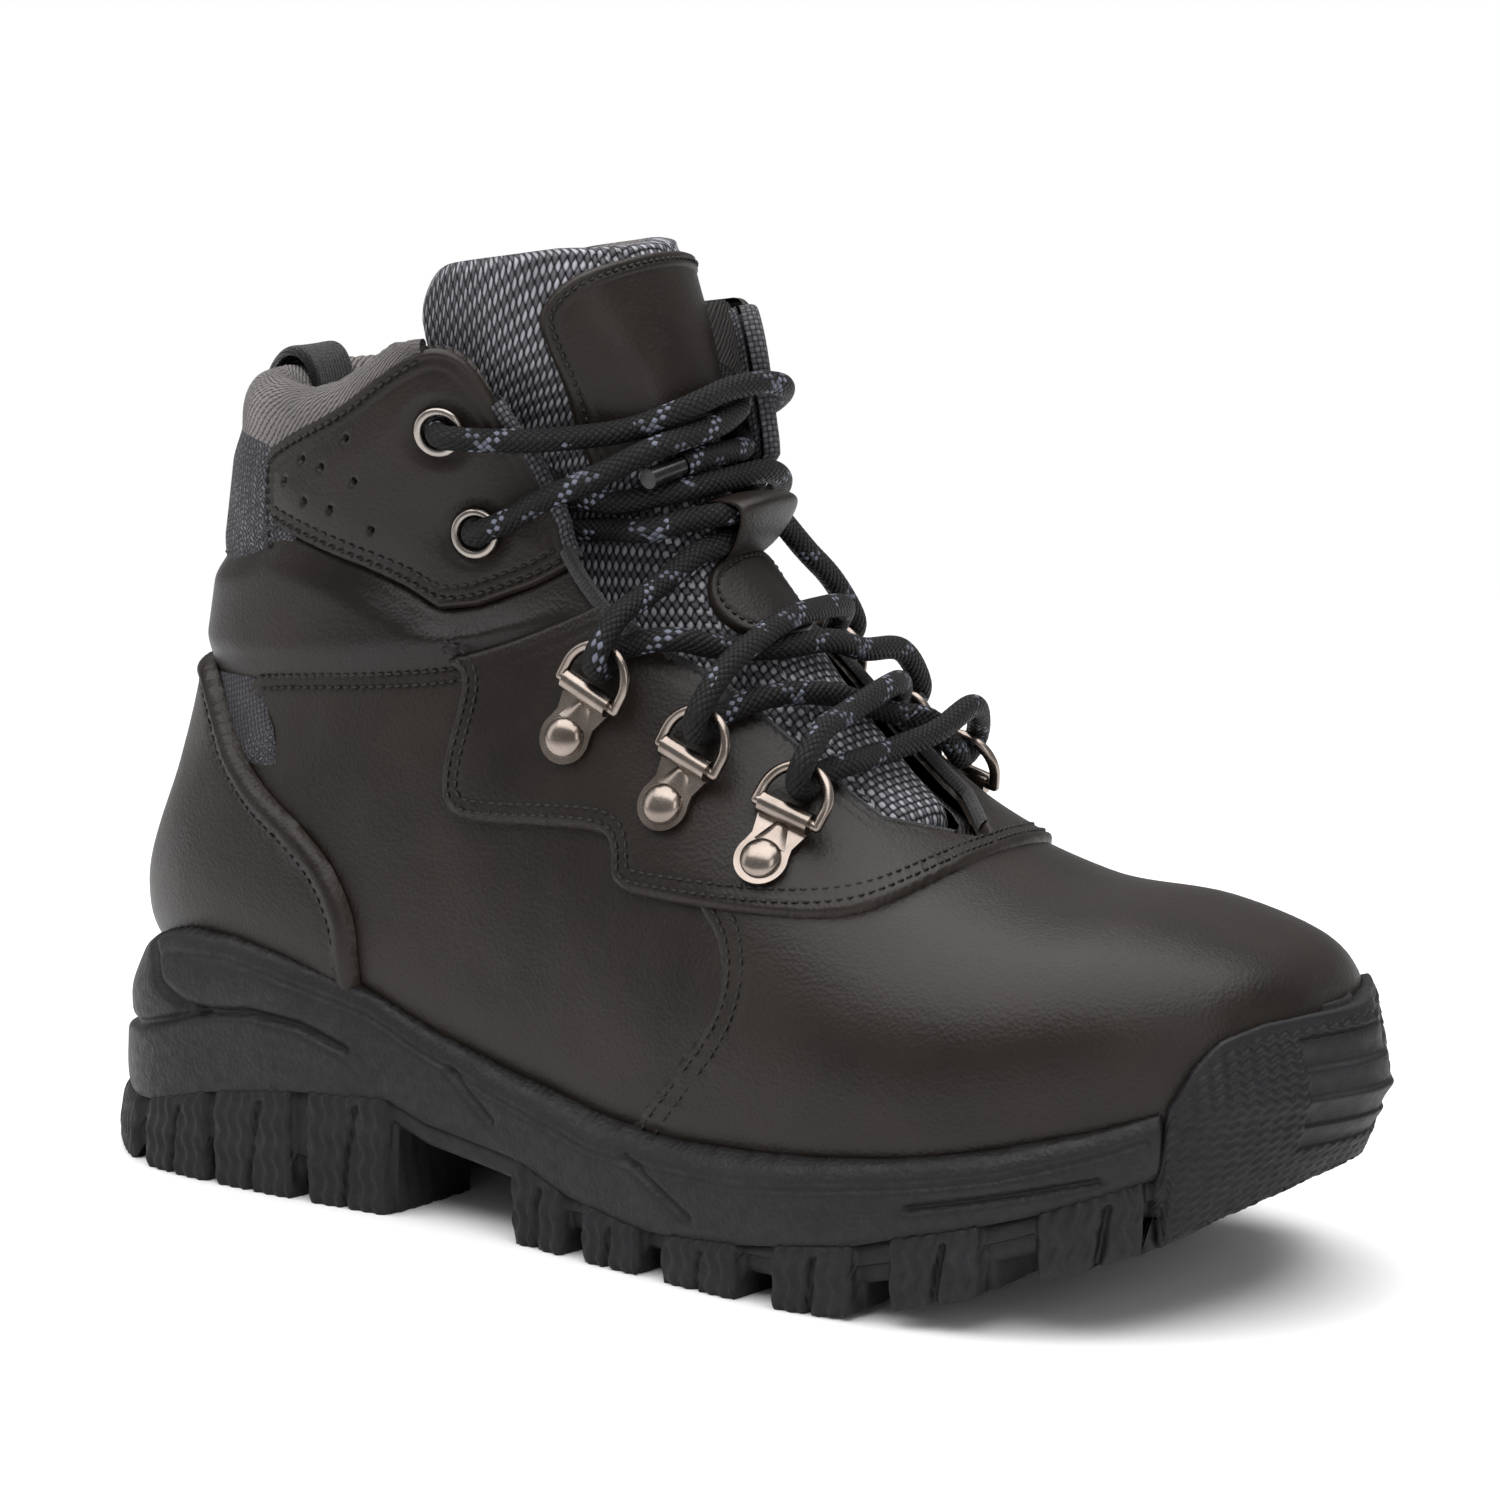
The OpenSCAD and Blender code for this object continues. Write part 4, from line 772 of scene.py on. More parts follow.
def pull_tab():
    """A webbing loop sewn over the back of the collar roll."""
    a = np.linspace(191, 169, 34)
    low, up, H, D = collar_size(a)
    T = rows_of(np.linspace(0, math.pi, 60)[:, None], a)
    off = 1.3 - 1.5 * np.abs(np.linspace(-1, 1, len(a))) ** 14
    out = 1.6 * np.sin(T)
    h = (H + off + out) * np.sin(T) ** 0.85
    d = -D / 2 + (D / 2 + 0.9 * np.sin(T) + off) * np.cos(T)
    legs = rows_of(np.linspace(-11, -0.5, 12)[:, None], a)
    h = np.vstack([legs, h, legs[::-1]])
    d = np.vstack([0 * legs + off + 0.35, d, 0 * legs - D - off])
    pts = skin(low + h / up, np.broadcast_to(a, h.shape), d)
    piece("pull_tab_webbing", pts.reshape(-1, 3), grid_faces(*h.shape)[:, ::-1], TAPE,
          ["pull_tab"], flat_of(pts))


pull_tab()


# ---------------------------------------------------------------- stitches and seams
COARSE_S, COARSE_A = np.meshgrid(np.arange(0.2, 15, 0.1), np.arange(1, 180, 1.5), indexing="ij")
COARSE = oval(COARSE_S, COARSE_A)[..., [0, 2]].reshape(-1, 2)


def place(x, z, sgn=1):
    """Section and signed angle of side-view points."""
    x, z = np.atleast_1d(x).astype(float), np.atleast_1d(z).astype(float)
    near = ((COARSE[None] - np.stack([x, z], -1)[:, None]) ** 2).sum(-1).argmin(1)
    s, a = COARSE_S.ravel()[near].copy(), COARSE_A.ravel()[near].copy()
    for _ in range(5):
        p = oval(s, a)
        js, ja = (oval(s + 0.01, a) - p) / 0.01, (oval(s, a + 0.1) - p) / 0.1
        rx, rz = x - p[:, 0], z - p[:, 2]
        det = js[:, 0] * ja[:, 2] - ja[:, 0] * js[:, 2]
        det = np.where(np.abs(det) < 1e-4, 1e-4, det)
        s = np.clip(s + np.clip((rx * ja[:, 2] - rz * ja[:, 0]) / det, -0.3, 0.3), 0.05, 15)
        a = np.clip(a + np.clip((js[:, 0] * rz - js[:, 2] * rx) / det, -5, 5), 0.5, 179.5)
    p = oval(s, a)
    good = np.hypot(p[:, 0] - x, p[:, 2] - z) < 0.4
    return s, a * sgn, good


def capsules(ends, out, r=0.24, sides=6):
    """Short threads between pairs of points, with rounded ends, as points and faces."""
    p, q = ends[:, 0], ends[:, 1]
    t, n = unit(q - p), unit(out)
    b = np.cross(t, n)
    along = np.array([-1.0, -0.86, -0.5, 0, 0.5, 0.86, 1.0])
    wide = np.array([0.25, 0.75, 1.0, 1.0, 1.0, 0.75, 0.25])
    rise = np.array([-0.35, -0.05, 0.12, 0.18, 0.12, -0.05, -0.35])
    half = np.linalg.norm(q - p, axis=-1)[:, None] / 2
    rings = []
    for k, w, h in zip(along, wide, rise):
        c = (p + q) / 2 + t * half * k + n * h
        for j in range(sides):
            ang = 2 * math.pi * j / sides
            rings.append(c + r * w * (b * math.cos(ang) + n * math.sin(ang)))
    m = len(along)
    pts = np.stack(rings, 1).reshape(-1, 3)
    one = grid_faces(m, sides, True).tolist() + [list(range(sides))[::-1],
                                                 list(range((m - 1) * sides, m * sides))]
    faces = [[v + i * m * sides for v in f] for i in range(len(p)) for f in one]
    return pts, faces


def thread_run(path, normals, pitch=1.75, fill=0.74):
    """Stitches along a dense path."""
    run = lengths(path)
    n = int(run[-1] / pitch)
    if n < 1:
        return None
    at = (np.arange(n) + 0.5) * run[-1] / n
    lo, hi = at - pitch * fill / 2, at + pitch * fill / 2
    ends = [at_lengths(v, run, path) for v in (lo, hi)]
    return np.stack(ends, 1), at_lengths(at, run, normals)


def stitches(name, lines, height, pitch=1.75):
    """Rows of stitches: lines is a list of (s, a) paths; height is a function of s and a."""
    ends, outs = [], []
    for s, a in lines:
        if len(s) < 2:
            continue
        made = thread_run(skin(s, a, height(s, a)), outward(s, a), pitch)
        if made:
            ends.append(made[0])
            outs.append(made[1])
    pts, faces = capsules(np.concatenate(ends), np.concatenate(outs))
    return piece(name, pts, faces, THREAD)


def inset(line, d):
    """A side-view line moved to its left by d."""
    p = np.asarray(line, float)
    t = unit(np.gradient(p, axis=0))
    return p + d * np.stack([-t[:, 1], t[:, 0]], -1)


def dense(line, step=0.6):
    p = np.asarray(line, float)
    run = lengths(p)
    return at_lengths(np.linspace(0, run[-1], max(2, int(run[-1] / step))), run, p)


def seam(line, offsets):
    """Paths on the upper beside a side-view line, for each offset, on both sides of the boot."""
    out = []
    for sgn in (1, -1):
        for d in offsets:
            p = inset(dense(chaikin(line, 2, closed=False)), d)
            s, a, ok = place(p[:, 0], p[:, 1], sgn)
            ok &= (np.abs(a) > throat(s, a) + 2) | (s < 4.6)
            cut = np.flatnonzero(np.diff(ok.astype(int)))
            for part in np.split(np.arange(len(s)), cut + 1):
                if len(part) > 4 and ok[part[0]]:
                    out.append((s[part], a[part]))
    return out


flat_on = lambda h: (lambda s, a: np.broadcast_to(np.asarray(h, float), np.shape(s)) + lift(s, a))
stitches("vamp_stitches", seam(VAMP[:7], (-1.8, -4.2)), flat_on(0.22))
stitches("quarter_stitches", seam(QUARTER[4:11], (-1.6, -3.6)), flat_on(-0.05))
stitches("counter_stitches", seam(COUNTER[3:10], (-4.4,)), flat_on(1.85))
stitches("cuff_stitches", seam(CUFF_LOW[2:], (1.5, 3.4)), flat_on(0.75))
stitches("facing_stitches", seam(FACING[0:20], (1.7, 3.4)), flat_on(1.8))
stitches("band_top_stitches", seam([[-97, 106.6], [-86, 108], [-76, 110.2]], (-1.2,)),
         flat_on(0.35))
stitches("cuff_top_stitches", seam(CUFF_BACK[2:], (-1.6,)), flat_on(0.75))


# ---------------------------------------------------------------- bindings at the throat
def ribbon(name, s, a_of, prof, look, nodes, side, base):
    """A strip along the throat edge: prof is a list of (angle offset in mm, height)."""
    a0 = a_of(s)
    per = np.linalg.norm(oval(s, side * (a0 + 1)) - oval(s, side * a0), axis=-1)
    pts = [skin(s, side * (a0 + o / per), h + base(s, side * a0)) for o, h in prof]
    P = np.stack(pts, 0)
    f = grid_faces(*P.shape[:2])
    return piece(name, P.reshape(-1, 3), f if side > 0 else f[:, ::-1], look, nodes,
                 flat_of(P, swap=True))


th = np.linspace(-0.2, math.pi + 0.2, 12)
for side, label, table in ((1, "lateral", THROAT), (-1, "medial", THROAT_MEDIAL)):
    top = 1.9
    sr = np.linspace(4.75, 9.1, 180)
    ribbon("facing_binding_" + label, sr, lambda s, t=table: interp(s, t),
           [(1.0 + 1.2 * math.cos(x), top - 1.5 + 1.2 * math.sin(x) * 1.3) for x in th[::-1]],
           CLOTH, [], side, lift)
    sr = np.linspace(8.9, 14.6, 220)
    P = oval(sr, side * interp(sr, table))
    edge_line = chaikin(CUFF_BACK + (CUFF_FRONT if side > 0 else CUFF_FRONT_MEDIAL))
    up = inside_distance(P[:, 0], P[:, 2], edge_line)
    sr = sr[up > 0.4]
    turn, fat = (7.0, 2.2) if side < 0 else (0.0, 1.3)
    bend = turn - np.sqrt(np.maximum(turn ** 2 - np.maximum(turn - up[up > 0.4], 0) ** 2, 0))
    bend = bend / np.linalg.norm(oval(sr, 1.0) - oval(sr, 0.0), axis=-1)
    drop = 0.6 + 0.5 * (fat - 1.1)
    ribbon("cuff_binding_" + label, sr, lambda s, t=table, q=bend: interp(s, t) + q,
           [(0.5 + fat * math.cos(x), (fat + 0.4) * math.sin(x) - drop) for x in th[::-1]]
           + [(0.5 - fat, -2.2), (1.9 - fat, -3.4)], MESH, ["binding_" + label], side, lift)

# ---------------------------------------------------------------- tongue
TOP_S = np.arange(0, 15.01, 0.05)
TOP_RUN = lengths(oval(TOP_S, 0.0))
PER_DEG = lambda s: np.linalg.norm(oval(s, 20.0) - oval(s, 0.0), axis=-1) / 20
run_of = lambda s: np.interp(s, TOP_S, TOP_RUN)
s_of = lambda v: np.interp(v, TOP_RUN, TOP_S)


def flat_uv(S, A):
    return np.stack([A * PER_DEG(S), run_of(S)], -1)


def flat_distance(S, A, poly):
    uv = flat_uv(S, A)
    return inside_distance(uv[..., 0], uv[..., 1], chaikin(poly, 3))


def tongue_base(S, A):
    return -tongue_depth(S, A)


def tongue_edge(S, A, P):
    half_width = opening(S) + 12 * ease((S - 4.2) / 0.6) + 5 * ease((S - 11.5) / 2)
    return np.minimum((half_width - np.abs(A)) * 0.55, (S - 4.7) * 15)


def tongue_relief(S, A, P, f):
    rim_roll = 0.9 * np.exp(-((f - 1.6) / 1.0) ** 2) * ease((S - 11) / 1)
    return 0.9 * ease(f / 9) * ease((S - 9) / 2) + 0.25 * smooth_noise(P, 22, 12) + rim_roll


tongue_ob = patch("tongue_cloth", WEAVE, ["tongue", "tongue_padding"], TONGUE, s=(4.6, 15),
                  a=(-82, 82), ds=0.04, da=0.6, drop=4.5, edge_r=5.0, base=tongue_base,
                  extra_phi=tongue_edge, corner=9, relief=tongue_relief)
patch("tongue_back_cloth", KNIT, [], TONGUE, s=(4.6, 15), a=(-82, 82), ds=0.08, da=1.2, height=-8,
      drop=-4.0, edge_r=5.0, base=tongue_base, extra_phi=tongue_edge, flip=True, corner=9)

PATCH_ROWS = [[9.8, 33], [10.2, 36], [11.5, 39], [13, 42], [13.3, 39], [13.5, 33], [13.6, 25]]
patch_poly = [[h * float(PER_DEG(np.array(s))), float(run_of(s))]
              for s, h in PATCH_ROWS + [[s, -h] for s, h in PATCH_ROWS[::-1]]]


def patch_relief(S, A, P, f):
    inner = ease((f - 2.4) / 0.5)
    return (1.15 * ease((S - 9) / 2) - 0.35 * inner + groove(f, 1.5, 0.3, 0.18)
            + 0.1 * smooth_noise(P, 9, 15))


patch("tongue_leather_patch", LEATHER, ["tongue_patch"], None, s=(9.4, 14.2), a=(-55, 55),
      ds=0.025, da=0.45, height=1.2, drop=1.4, edge_r=0.7, base=tongue_base,
      extra_phi=lambda S, A, P: flat_distance(S, A, patch_poly), relief=patch_relief)


def flat_seam(poly, d, closed=True):
    p = chaikin(poly, 3)
    p = dense(np.vstack([p, p[:1]]) if closed else p)
    p = inset(p, d)
    s = s_of(p[:, 1])
    return [(s, p[:, 0] / PER_DEG(s))]


stitches("tongue_patch_stitches", flat_seam(patch_poly, 1.5),
         lambda s, a: 1.2 - tongue_depth(s, a) + 1.1 * ease((s - 9) / 2), pitch=1.6)

# keeper: a leather loop for the lace, and its stitched tab
TAB = [[5, 6.9], [11, 6.97], [16.5, 7.12], [19.5, 7.32], [20, 7.55], [16, 7.76], [8, 7.84]]
tab_poly = [[h * 0.62, float(run_of(s))] for h, s in TAB + [[-h, s] for h, s in TAB[::-1]]]
patch("keeper_leather_tab", LEATHER, ["keeper_tab"], None, s=(6.7, 8.1), a=(-32, 32), ds=0.012,
      da=0.35, height=1.3, drop=1.3, edge_r=0.7, base=tongue_base,
      extra_phi=lambda S, A, P: flat_distance(S, A, tab_poly),
      relief=lambda S, A, P, f: groove(f, 1.7, 0.3, 0.2))
stitches("keeper_tab_stitches", flat_seam(tab_poly, 1.7),
         lambda s, a: 1.1 - tongue_depth(s, a), pitch=1.5)


def keeper_band():
    s = np.linspace(7.76, 8.52, 46)
    a = np.linspace(-9, 9, 20)
    S, A = np.meshgrid(s, a, indexing="ij")
    rise = 9.6 * np.clip(np.sin(np.pi * (S - 7.78) / 0.72), 0, 1) ** 0.5
    soft = -0.5 * ((A / 9) ** 4)
    top = skin(S, A, 1.6 + rise + soft - tongue_depth(S, np.zeros_like(A)))
    low = skin(S, A, 0.3 + rise - tongue_depth(S, np.zeros_like(A)))
    ring = np.concatenate([top, low[:, ::-1]], 1)
    n = ring.shape[1]
    last = (len(s) - 1) * n
    f = grid_faces(len(s), n, True).tolist() + [list(range(n)), list(range(last, last + n))[::-1]]
    ob = piece("keeper_leather_loop", ring.reshape(-1, 3), f, LEATHER, ["keeper_loop"],
               edge=np.tile(np.r_[np.abs(a / 9) ** 8, np.abs(a / 9) ** 8], len(s)))
    b = ob.modifiers.new("round", "BEVEL")
    b.width, b.segments, b.limit_method, b.angle_limit = 0.0003, 3, "ANGLE", 0.9
    return ob


keeper_band()

for side, label in ((1, "lateral"), (-1, "medial")):
    s = np.linspace(5.25, 9.6, 80)
    t = np.linspace(0, 1, 14)
    S, T = np.meshgrid(s, t, indexing="ij")
    A = (opening(S) + 10 + 14 * T)
    d = -(tongue_depth(S, A) + 0.3) * (1 - T) - (lining_depth(S, A) + 2.3) * T
    pts = skin(S, side * A, d + 0.3 * np.sin(T * 6 + S * 9))
    piece("gusset_cloth_" + label, pts.reshape(-1, 3), grid_faces(*S.shape), CLOTH,
          ["gusset_" + label], np.stack([S * 12, A * 0.6], -1).reshape(-1, 2))


# ---------------------------------------------------------------- hardware
MIRROR = [1, -1, 1]
RIVETS = [[-9.6, -31.4, 83.8], [9.4, -31.9, 74.8], [27.6, -32, 67.8],
          [-0.2, -31.2, 80.4], [13.2, -33.4, 70.3], [26.5, -34.9, 64.3]]
RIVET_TURN = [[59, -59, 35], [44, -57, 48], [28, -48, 71],
              [52, -57, 42], [40, -55, 52], [27, -51, 67]]
EYELETS = np.array([[-35.1, -29.5, 131.6], [-30.6, -25.7, 114.8],
                    [-10.6, -22.8, 130.8], [-11.3, -24.3, 115.4]])
EYELET_DIR = np.array([[0.34, -0.93, -0.14], [0.23, -0.97, 0.06],
                       [0.21, -0.98, 0.06], [0.47, -0.84, -0.27]])


def rot(deg):
    rx, ry, rz = np.radians(deg)
    x = np.array([[1, 0, 0], [0, math.cos(rx), -math.sin(rx)], [0, math.sin(rx), math.cos(rx)]])
    y = np.array([[math.cos(ry), 0, math.sin(ry)], [0, 1, 0], [-math.sin(ry), 0, math.cos(ry)]])
    z = np.array([[math.cos(rz), -math.sin(rz), 0], [math.sin(rz), math.cos(rz), 0], [0, 0, 1]])
    return z @ y @ x


def axes_from(v):
    z = unit(np.asarray(v, float))
    x = unit(np.cross([0, 0, 1.0], z))
    return np.stack([x, np.cross(z, x), z], 1)


def revolve(profile, sides=64):
    ang = np.linspace(0, 2 * math.pi, sides, endpoint=False)
    pts = np.array([[r * math.cos(t), r * math.sin(t), z] for r, z in profile for t in ang])
    return pts, grid_faces(len(profile), sides, True)


def many(name, shape, frames, look, nodes=()):
    """Copies of one shape at (turn, origin, mirrored) frames, as one piece."""
    pts, faces = shape
    P, F = [], []
    for i, (turn, origin, mirrored) in enumerate(frames):
        q = pts @ turn.T + origin
        P.append(q * MIRROR if mirrored else q)
        F.append((faces[:, ::-1] if mirrored else faces) + i * len(pts))
    return piece(name, np.vstack(P), np.vstack(F), look, nodes)


plate_frames = [(rot(RIVET_TURN[k]), np.array(RIVETS[k]), k > 2) for k in range(6)]
eyelet_frames = [(axes_from(EYELET_DIR[k]), EYELETS[k] + 0.45 * EYELET_DIR[k], k > 1)
                 for k in range(4)]


def arc_of(r, z, wide, high, to, n):
    """Points of a profile's arc from angle 0: radius and height."""
    return [(r + wide(t), z + high * math.sin(t)) for t in np.linspace(0, to, n)]


dome = [(3.35, 0.82)] + arc_of(0, 0.95, lambda t: 3.35 * math.cos(t), 1.75, math.pi / 2 - 0.02, 14)
many("rivet_domes", revolve(dome), plate_frames, METAL, ["plate_rivets"])
flange = ([(2.55, -4.0), (2.55, 0.4)]
          + arc_of(3.35, 0.45, lambda t: -0.8 * math.cos(t), 0.75, math.pi * 0.5, 8)
          + [(3.4 + 0.85 * math.sin(t), 0.4 + 0.8 * math.cos(t))
             for t in np.linspace(0, math.pi * 0.6, 8)] + [(4.15, 0.0)])
many("eyelet_rings", revolve(flange), eyelet_frames, METAL_DARK, ["eyelets"])
ridge = []
for x in np.linspace(2.6, 7.0, 12):
    w = np.interp(x, [2.6, 7.0], [2.9, 1.0])
    ridge.append([[x, w * t, 0.8 + 0.75 * math.cos(t * math.pi / 2) * min(1, (7.3 - x) / 1.2)]
                  for t in np.linspace(-1, 1, 11)])
ridge = np.array(ridge)
many("plate_ridges", (ridge.reshape(-1, 3), grid_faces(12, 11)), plate_frames, METAL)
CAD_LOOKS = {"plate_lateral": METAL, "plate_medial": METAL, "ring": METAL,
             "rivet_washers": METAL_DARK, "eyelet_washers": METAL_DARK, "aglets": PLASTIC,
             "footbed": BED, "collar_foam": BED, "insole_board": BOARD,
             "heel_stiffener": BOARD, "toe_puff": BOARD, "shank": STEEL}
for name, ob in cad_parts.items():
    for start, look in CAD_LOOKS.items():
        if name.startswith(start):
            if not ob.data.materials:
                ob.data.materials.append(look)
            for slot in ob.material_slots:
                slot.material = look

# ---------------------------------------------------------------- lace
FREE_END = [[-1.5, -9.5, 126], [-0.5, -4, 127], [-0.5, 3, 127], [-2, 10.5, 127], [-6, 14.5, 128.5]]
TOP_CROSSING = [[-8.5, 26.5, 131.5], [-2.5, 23, 134.5], [2, 16, 137], [2, 9, 138],
                [0.5, 1.5, 137.5], [-0.5, -5.5, 136], [-3.5, -11, 134], [-8, -15.5, 132],
                [-13.5, -19.5, 131], [-19, -24, 130.5], [-25, -28.5, 130.5], [-31, -33, 131]]
SECOND_CROSSING = [[-29, -19, 127.5], [-19, -15.5, 121], [-10.5, -15, 120], [-3.5, -12.5, 121.5],
                   [0.5, -6, 122.5], [1.5, 1.5, 123], [3, 9.5, 123.5], [1.5, 16.5, 121.5],
                   [-3, 23, 118.5], [-8, 27.5, 115.5]]
KEEPER_LOWER = [[-7.5, 14, 122.5], [-1, 10, 120.5], [2, 5.5, 118], [4, 0, 115.5],
                [4.5, -6, 113.5], [2.5, -11.5, 112], [1, -16.5, 109], [0, -22.5, 106.5],
                [-1, -29, 104]]
RING_1_TO_2 = [[5, -23.5, 100], [10.5, -16, 98], [16.5, -8, 97.5], [19.5, 2.5, 97.5],
               [19.5, 13.5, 94.5], [20, 25, 93]]
RING_2_TO_3 = [[22.5, 20.5, 87], [26, 14, 89.5], [29, 6.5, 90.5], [30.5, -2.5, 90],
               [31, -11.5, 88.5], [32, -20.5, 87.5]]
BOTTOM_BAR = [[33, -14.5, 81], [33, -6.5, 81], [33.5, 2.5, 81.5], [34.5, 12, 82.5],
              [34.5, 23.5, 85]]
RING_3_TO_2 = [[30, 17.5, 83], [27.5, 10, 85], [25.5, 3, 87.5], [24, -4.5, 90],
               [22, -11.5, 91], [19.5, -18.5, 91]]
RING_2_TO_1 = [[17, -26, 96.5], [17.5, -17, 100], [17, -7, 102], [15.5, 5, 102], [13, 18, 100.5]]
KEEPER_UPPER = [[6.5, 25.5, 103.5], [6, 17.5, 109.5], [5.5, 10, 115.5], [7.5, 2, 118.5],
                [6.5, -5, 118.5], [1, -10.5, 117.5], [-4, -16.5, 116], [-12.5, -15, 115.5],
                [-22.5, -16.5, 114.5]]
LAST_CROSSING = [[-27.5, -29.5, 115.5], [-22.5, -27.5, 118], [-18, -25.5, 121],
                 [-12.5, -23.5, 123.5], [-8, -20.5, 126], [-3.5, -16, 129], [-1, -9.5, 130.5],
                 [0.5, -1.5, 132], [-0.5, 6.5, 134], [-5, 13, 136], [-10.5, 16.5, 138]]
LACE_D = 4.0


def lace_ring(k, over):
    out = []
    for a in ([0, 60, 120, 180] if over else [180, 120, 60, 0]):
        t = np.array([math.cos(math.radians(10)), 0, math.sin(math.radians(10))])
        n = np.array([-t[2], 0, t[0]])
        p = np.array([8.2, 0, 1.78]) + t * (8.1 - 3.7 * math.sin(math.radians(a)))
        p = rot(RIVET_TURN[k]) @ (p + n * 3.7 * math.cos(math.radians(a))) + RIVETS[k]
        out.append(p * MIRROR if k > 2 else p)
    return out


def lace_eyelet(k, inward):
    m = MIRROR if k > 1 else [1, 1, 1]
    return [(EYELETS[k] + d * EYELET_DIR[k]) * m for d in ((1.5, -6) if inward else (-6, 1.5))]


route = np.array([*FREE_END, *lace_eyelet(2, False), *TOP_CROSSING, *lace_eyelet(0, True),
                  *SECOND_CROSSING, *lace_eyelet(3, True), *KEEPER_LOWER, *lace_ring(0, True),
                  *RING_1_TO_2, *lace_ring(4, True), *RING_2_TO_3, *lace_ring(2, True),
                  *BOTTOM_BAR, *lace_ring(5, True), *RING_3_TO_2, *lace_ring(1, False),
                  *RING_2_TO_1, *lace_ring(3, False), *KEEPER_UPPER, *lace_eyelet(1, False),
                  *LAST_CROSSING])


def even(path, step, soften=6):
    fine = spline(path, np.linspace(0, len(path) - 1, len(path) * 14))
    for _ in range(soften):
        fine[1:-1] = 0.25 * fine[:-2] + 0.5 * fine[1:-1] + 0.25 * fine[2:]
    run = lengths(fine)
    at = np.linspace(0, run[-1], int(run[-1] / step))
    return at_lengths(at, run, fine), at


def frames_along(path):
    t = unit(np.gradient(path, axis=0))
    u = np.empty_like(t)
    u[0] = unit(np.cross(t[0], [0, 0, 1.0]))
    for i in range(1, len(t)):
        v = u[i - 1] - t[i] * (u[i - 1] @ t[i])
        u[i] = v / np.linalg.norm(v)
    return t, u, np.cross(t, u)


def braid_tube(name, path, at, d, look, nodes, yarn=1.35, around=10):
    """A round cord with the bulges of its yarns, yarn mm long and around in number."""
    t, u, v = frames_along(path)
    sides = 32
    ang = np.linspace(0, 2 * math.pi, sides + 1)
    L, T = np.meshgrid(at / yarn, ang / (2 * math.pi) * around, indexing="ij")
    a, b = L + T, L - T
    over = (np.floor(a) + np.floor(b)) % 2
    bulge = np.where(over > 0.5, np.abs(np.sin(np.pi * a)), np.abs(np.sin(np.pi * b))) ** 0.6
    r = d / 2 * (0.955 + 0.045 * bulge)
    pts = (path[:, None] + (u[:, None] * np.cos(ang)[None, :, None]
                            + v[:, None] * np.sin(ang)[None, :, None]) * r[..., None])
    return piece(name, pts.reshape(-1, 3), grid_faces(len(path), sides + 1), look, nodes,
                 np.stack([L, T], -1).reshape(-1, 2))


lace_path, lace_run = even(route, 0.42)
braid_tube("lace_braid", lace_path, lace_run, LACE_D, BRAID, ["lace"])

# ---------------------------------------------------------------- sole
PLAN = [[-121.5, 1, 3], [-119, -9.5, 11], [-113, -19.5, 19.5], [-98, -31, 28.5], [-70, -35, 32],
        [-30, -36, 32], [5, -42, 38], [40, -47, 45], [70, -44.5, 45.5], [90, -36.5, 40.5],
        [102, -25, 32], [110, -11, 22.5], [114, 0, 15.5], [115.5, 6, 10]]
TOP_EDGE = [[-120, 34], [-110, 36.5], [-100, 40], [-90, 42], [-78, 42.5], [-67, 41], [-47, 36.5],
            [-37, 32], [-22, 27], [0, 21.5], [15, 20.7], [30, 21], [43, 22.5], [62, 25.3],
            [76, 28], [90, 32], [98, 35], [101, 42], [104, 46], [108, 47.6], [118, 48.2]]
TREAD_TOP = [[-120, 10], [-99, 12], [-82, 16], [-63, 18.8], [-44, 20], [-36, 17], [-26, 15.5],
             [-17, 14.3], [-6, 10.4], [10, 7.8], [16, 7.8], [31, 9], [52, 12], [59, 14],
             [73, 17.5], [82, 20], [96, 25], [118, 31]]
LUG_FACE = [[-120, 1.5], [-112, 0], [45, 0], [52, 1], [59, 2.6], [73, 6.5], [82, 9.4],
            [96, 14], [101, 16], [109, 19], [118, 23]]
LUGS = [[-125, -103], [-99, -83], [-81, -64], [-60.5, -44], [-17, -6], [-1.5, 10.5],
        [16, 31], [38, 52.5], [59, 73.5], [82, 96]]
TOE_BLOCK = [98.5, 140]
RIM_STEP = 0.45


def smooth_table(table, reach=3.0):
    x = np.linspace(table[0][0], table[-1][0], 600)
    z = interp(x, table)
    k = np.exp(-np.linspace(-2, 2, max(3, int(reach / (x[1] - x[0])) | 1)) ** 2)
    pad = len(k) // 2
    return np.stack([x, np.convolve(np.pad(z, pad, "edge"), k / k.sum(), "valid")], -1)


TOP_EDGE, TREAD_TOP, LUG_FACE = (smooth_table(t) for t in (TOP_EDGE, TREAD_TOP, LUG_FACE))


def lean(x, z):
    return (x + 8 * (z / 40) * np.maximum(0, (-85 - x) / 34)
            - 5 * np.abs(z - 35) / 16 * np.maximum(0, (x - 95) / 22))


rim = closed_spline([[x, l] for x, l, m in PLAN] + [[x, m] for x, l, m in PLAN[::-1]], 24)
rim = np.vstack([rim, rim[:1]])
run = lengths(rim)
RIM_N = int(run[-1] / RIM_STEP)
RIM_RUN = np.linspace(0, run[-1], RIM_N, endpoint=False)
rim = at_lengths(RIM_RUN, run, rim)
tan = np.roll(rim, -1, 0) - np.roll(rim, 1, 0)
RIM_OUT = np.stack([tan[:, 1], -tan[:, 0]], -1)
RIM_OUT = unit(RIM_OUT) * np.sign((unit(RIM_OUT) * (rim - rim.mean(0))).sum(-1).mean())
step_up = lambda d, w=0.35: ease(d / w * 0.5 + 0.5)


LUG_DEEP = 4.5
ARCH = (-44, -17)


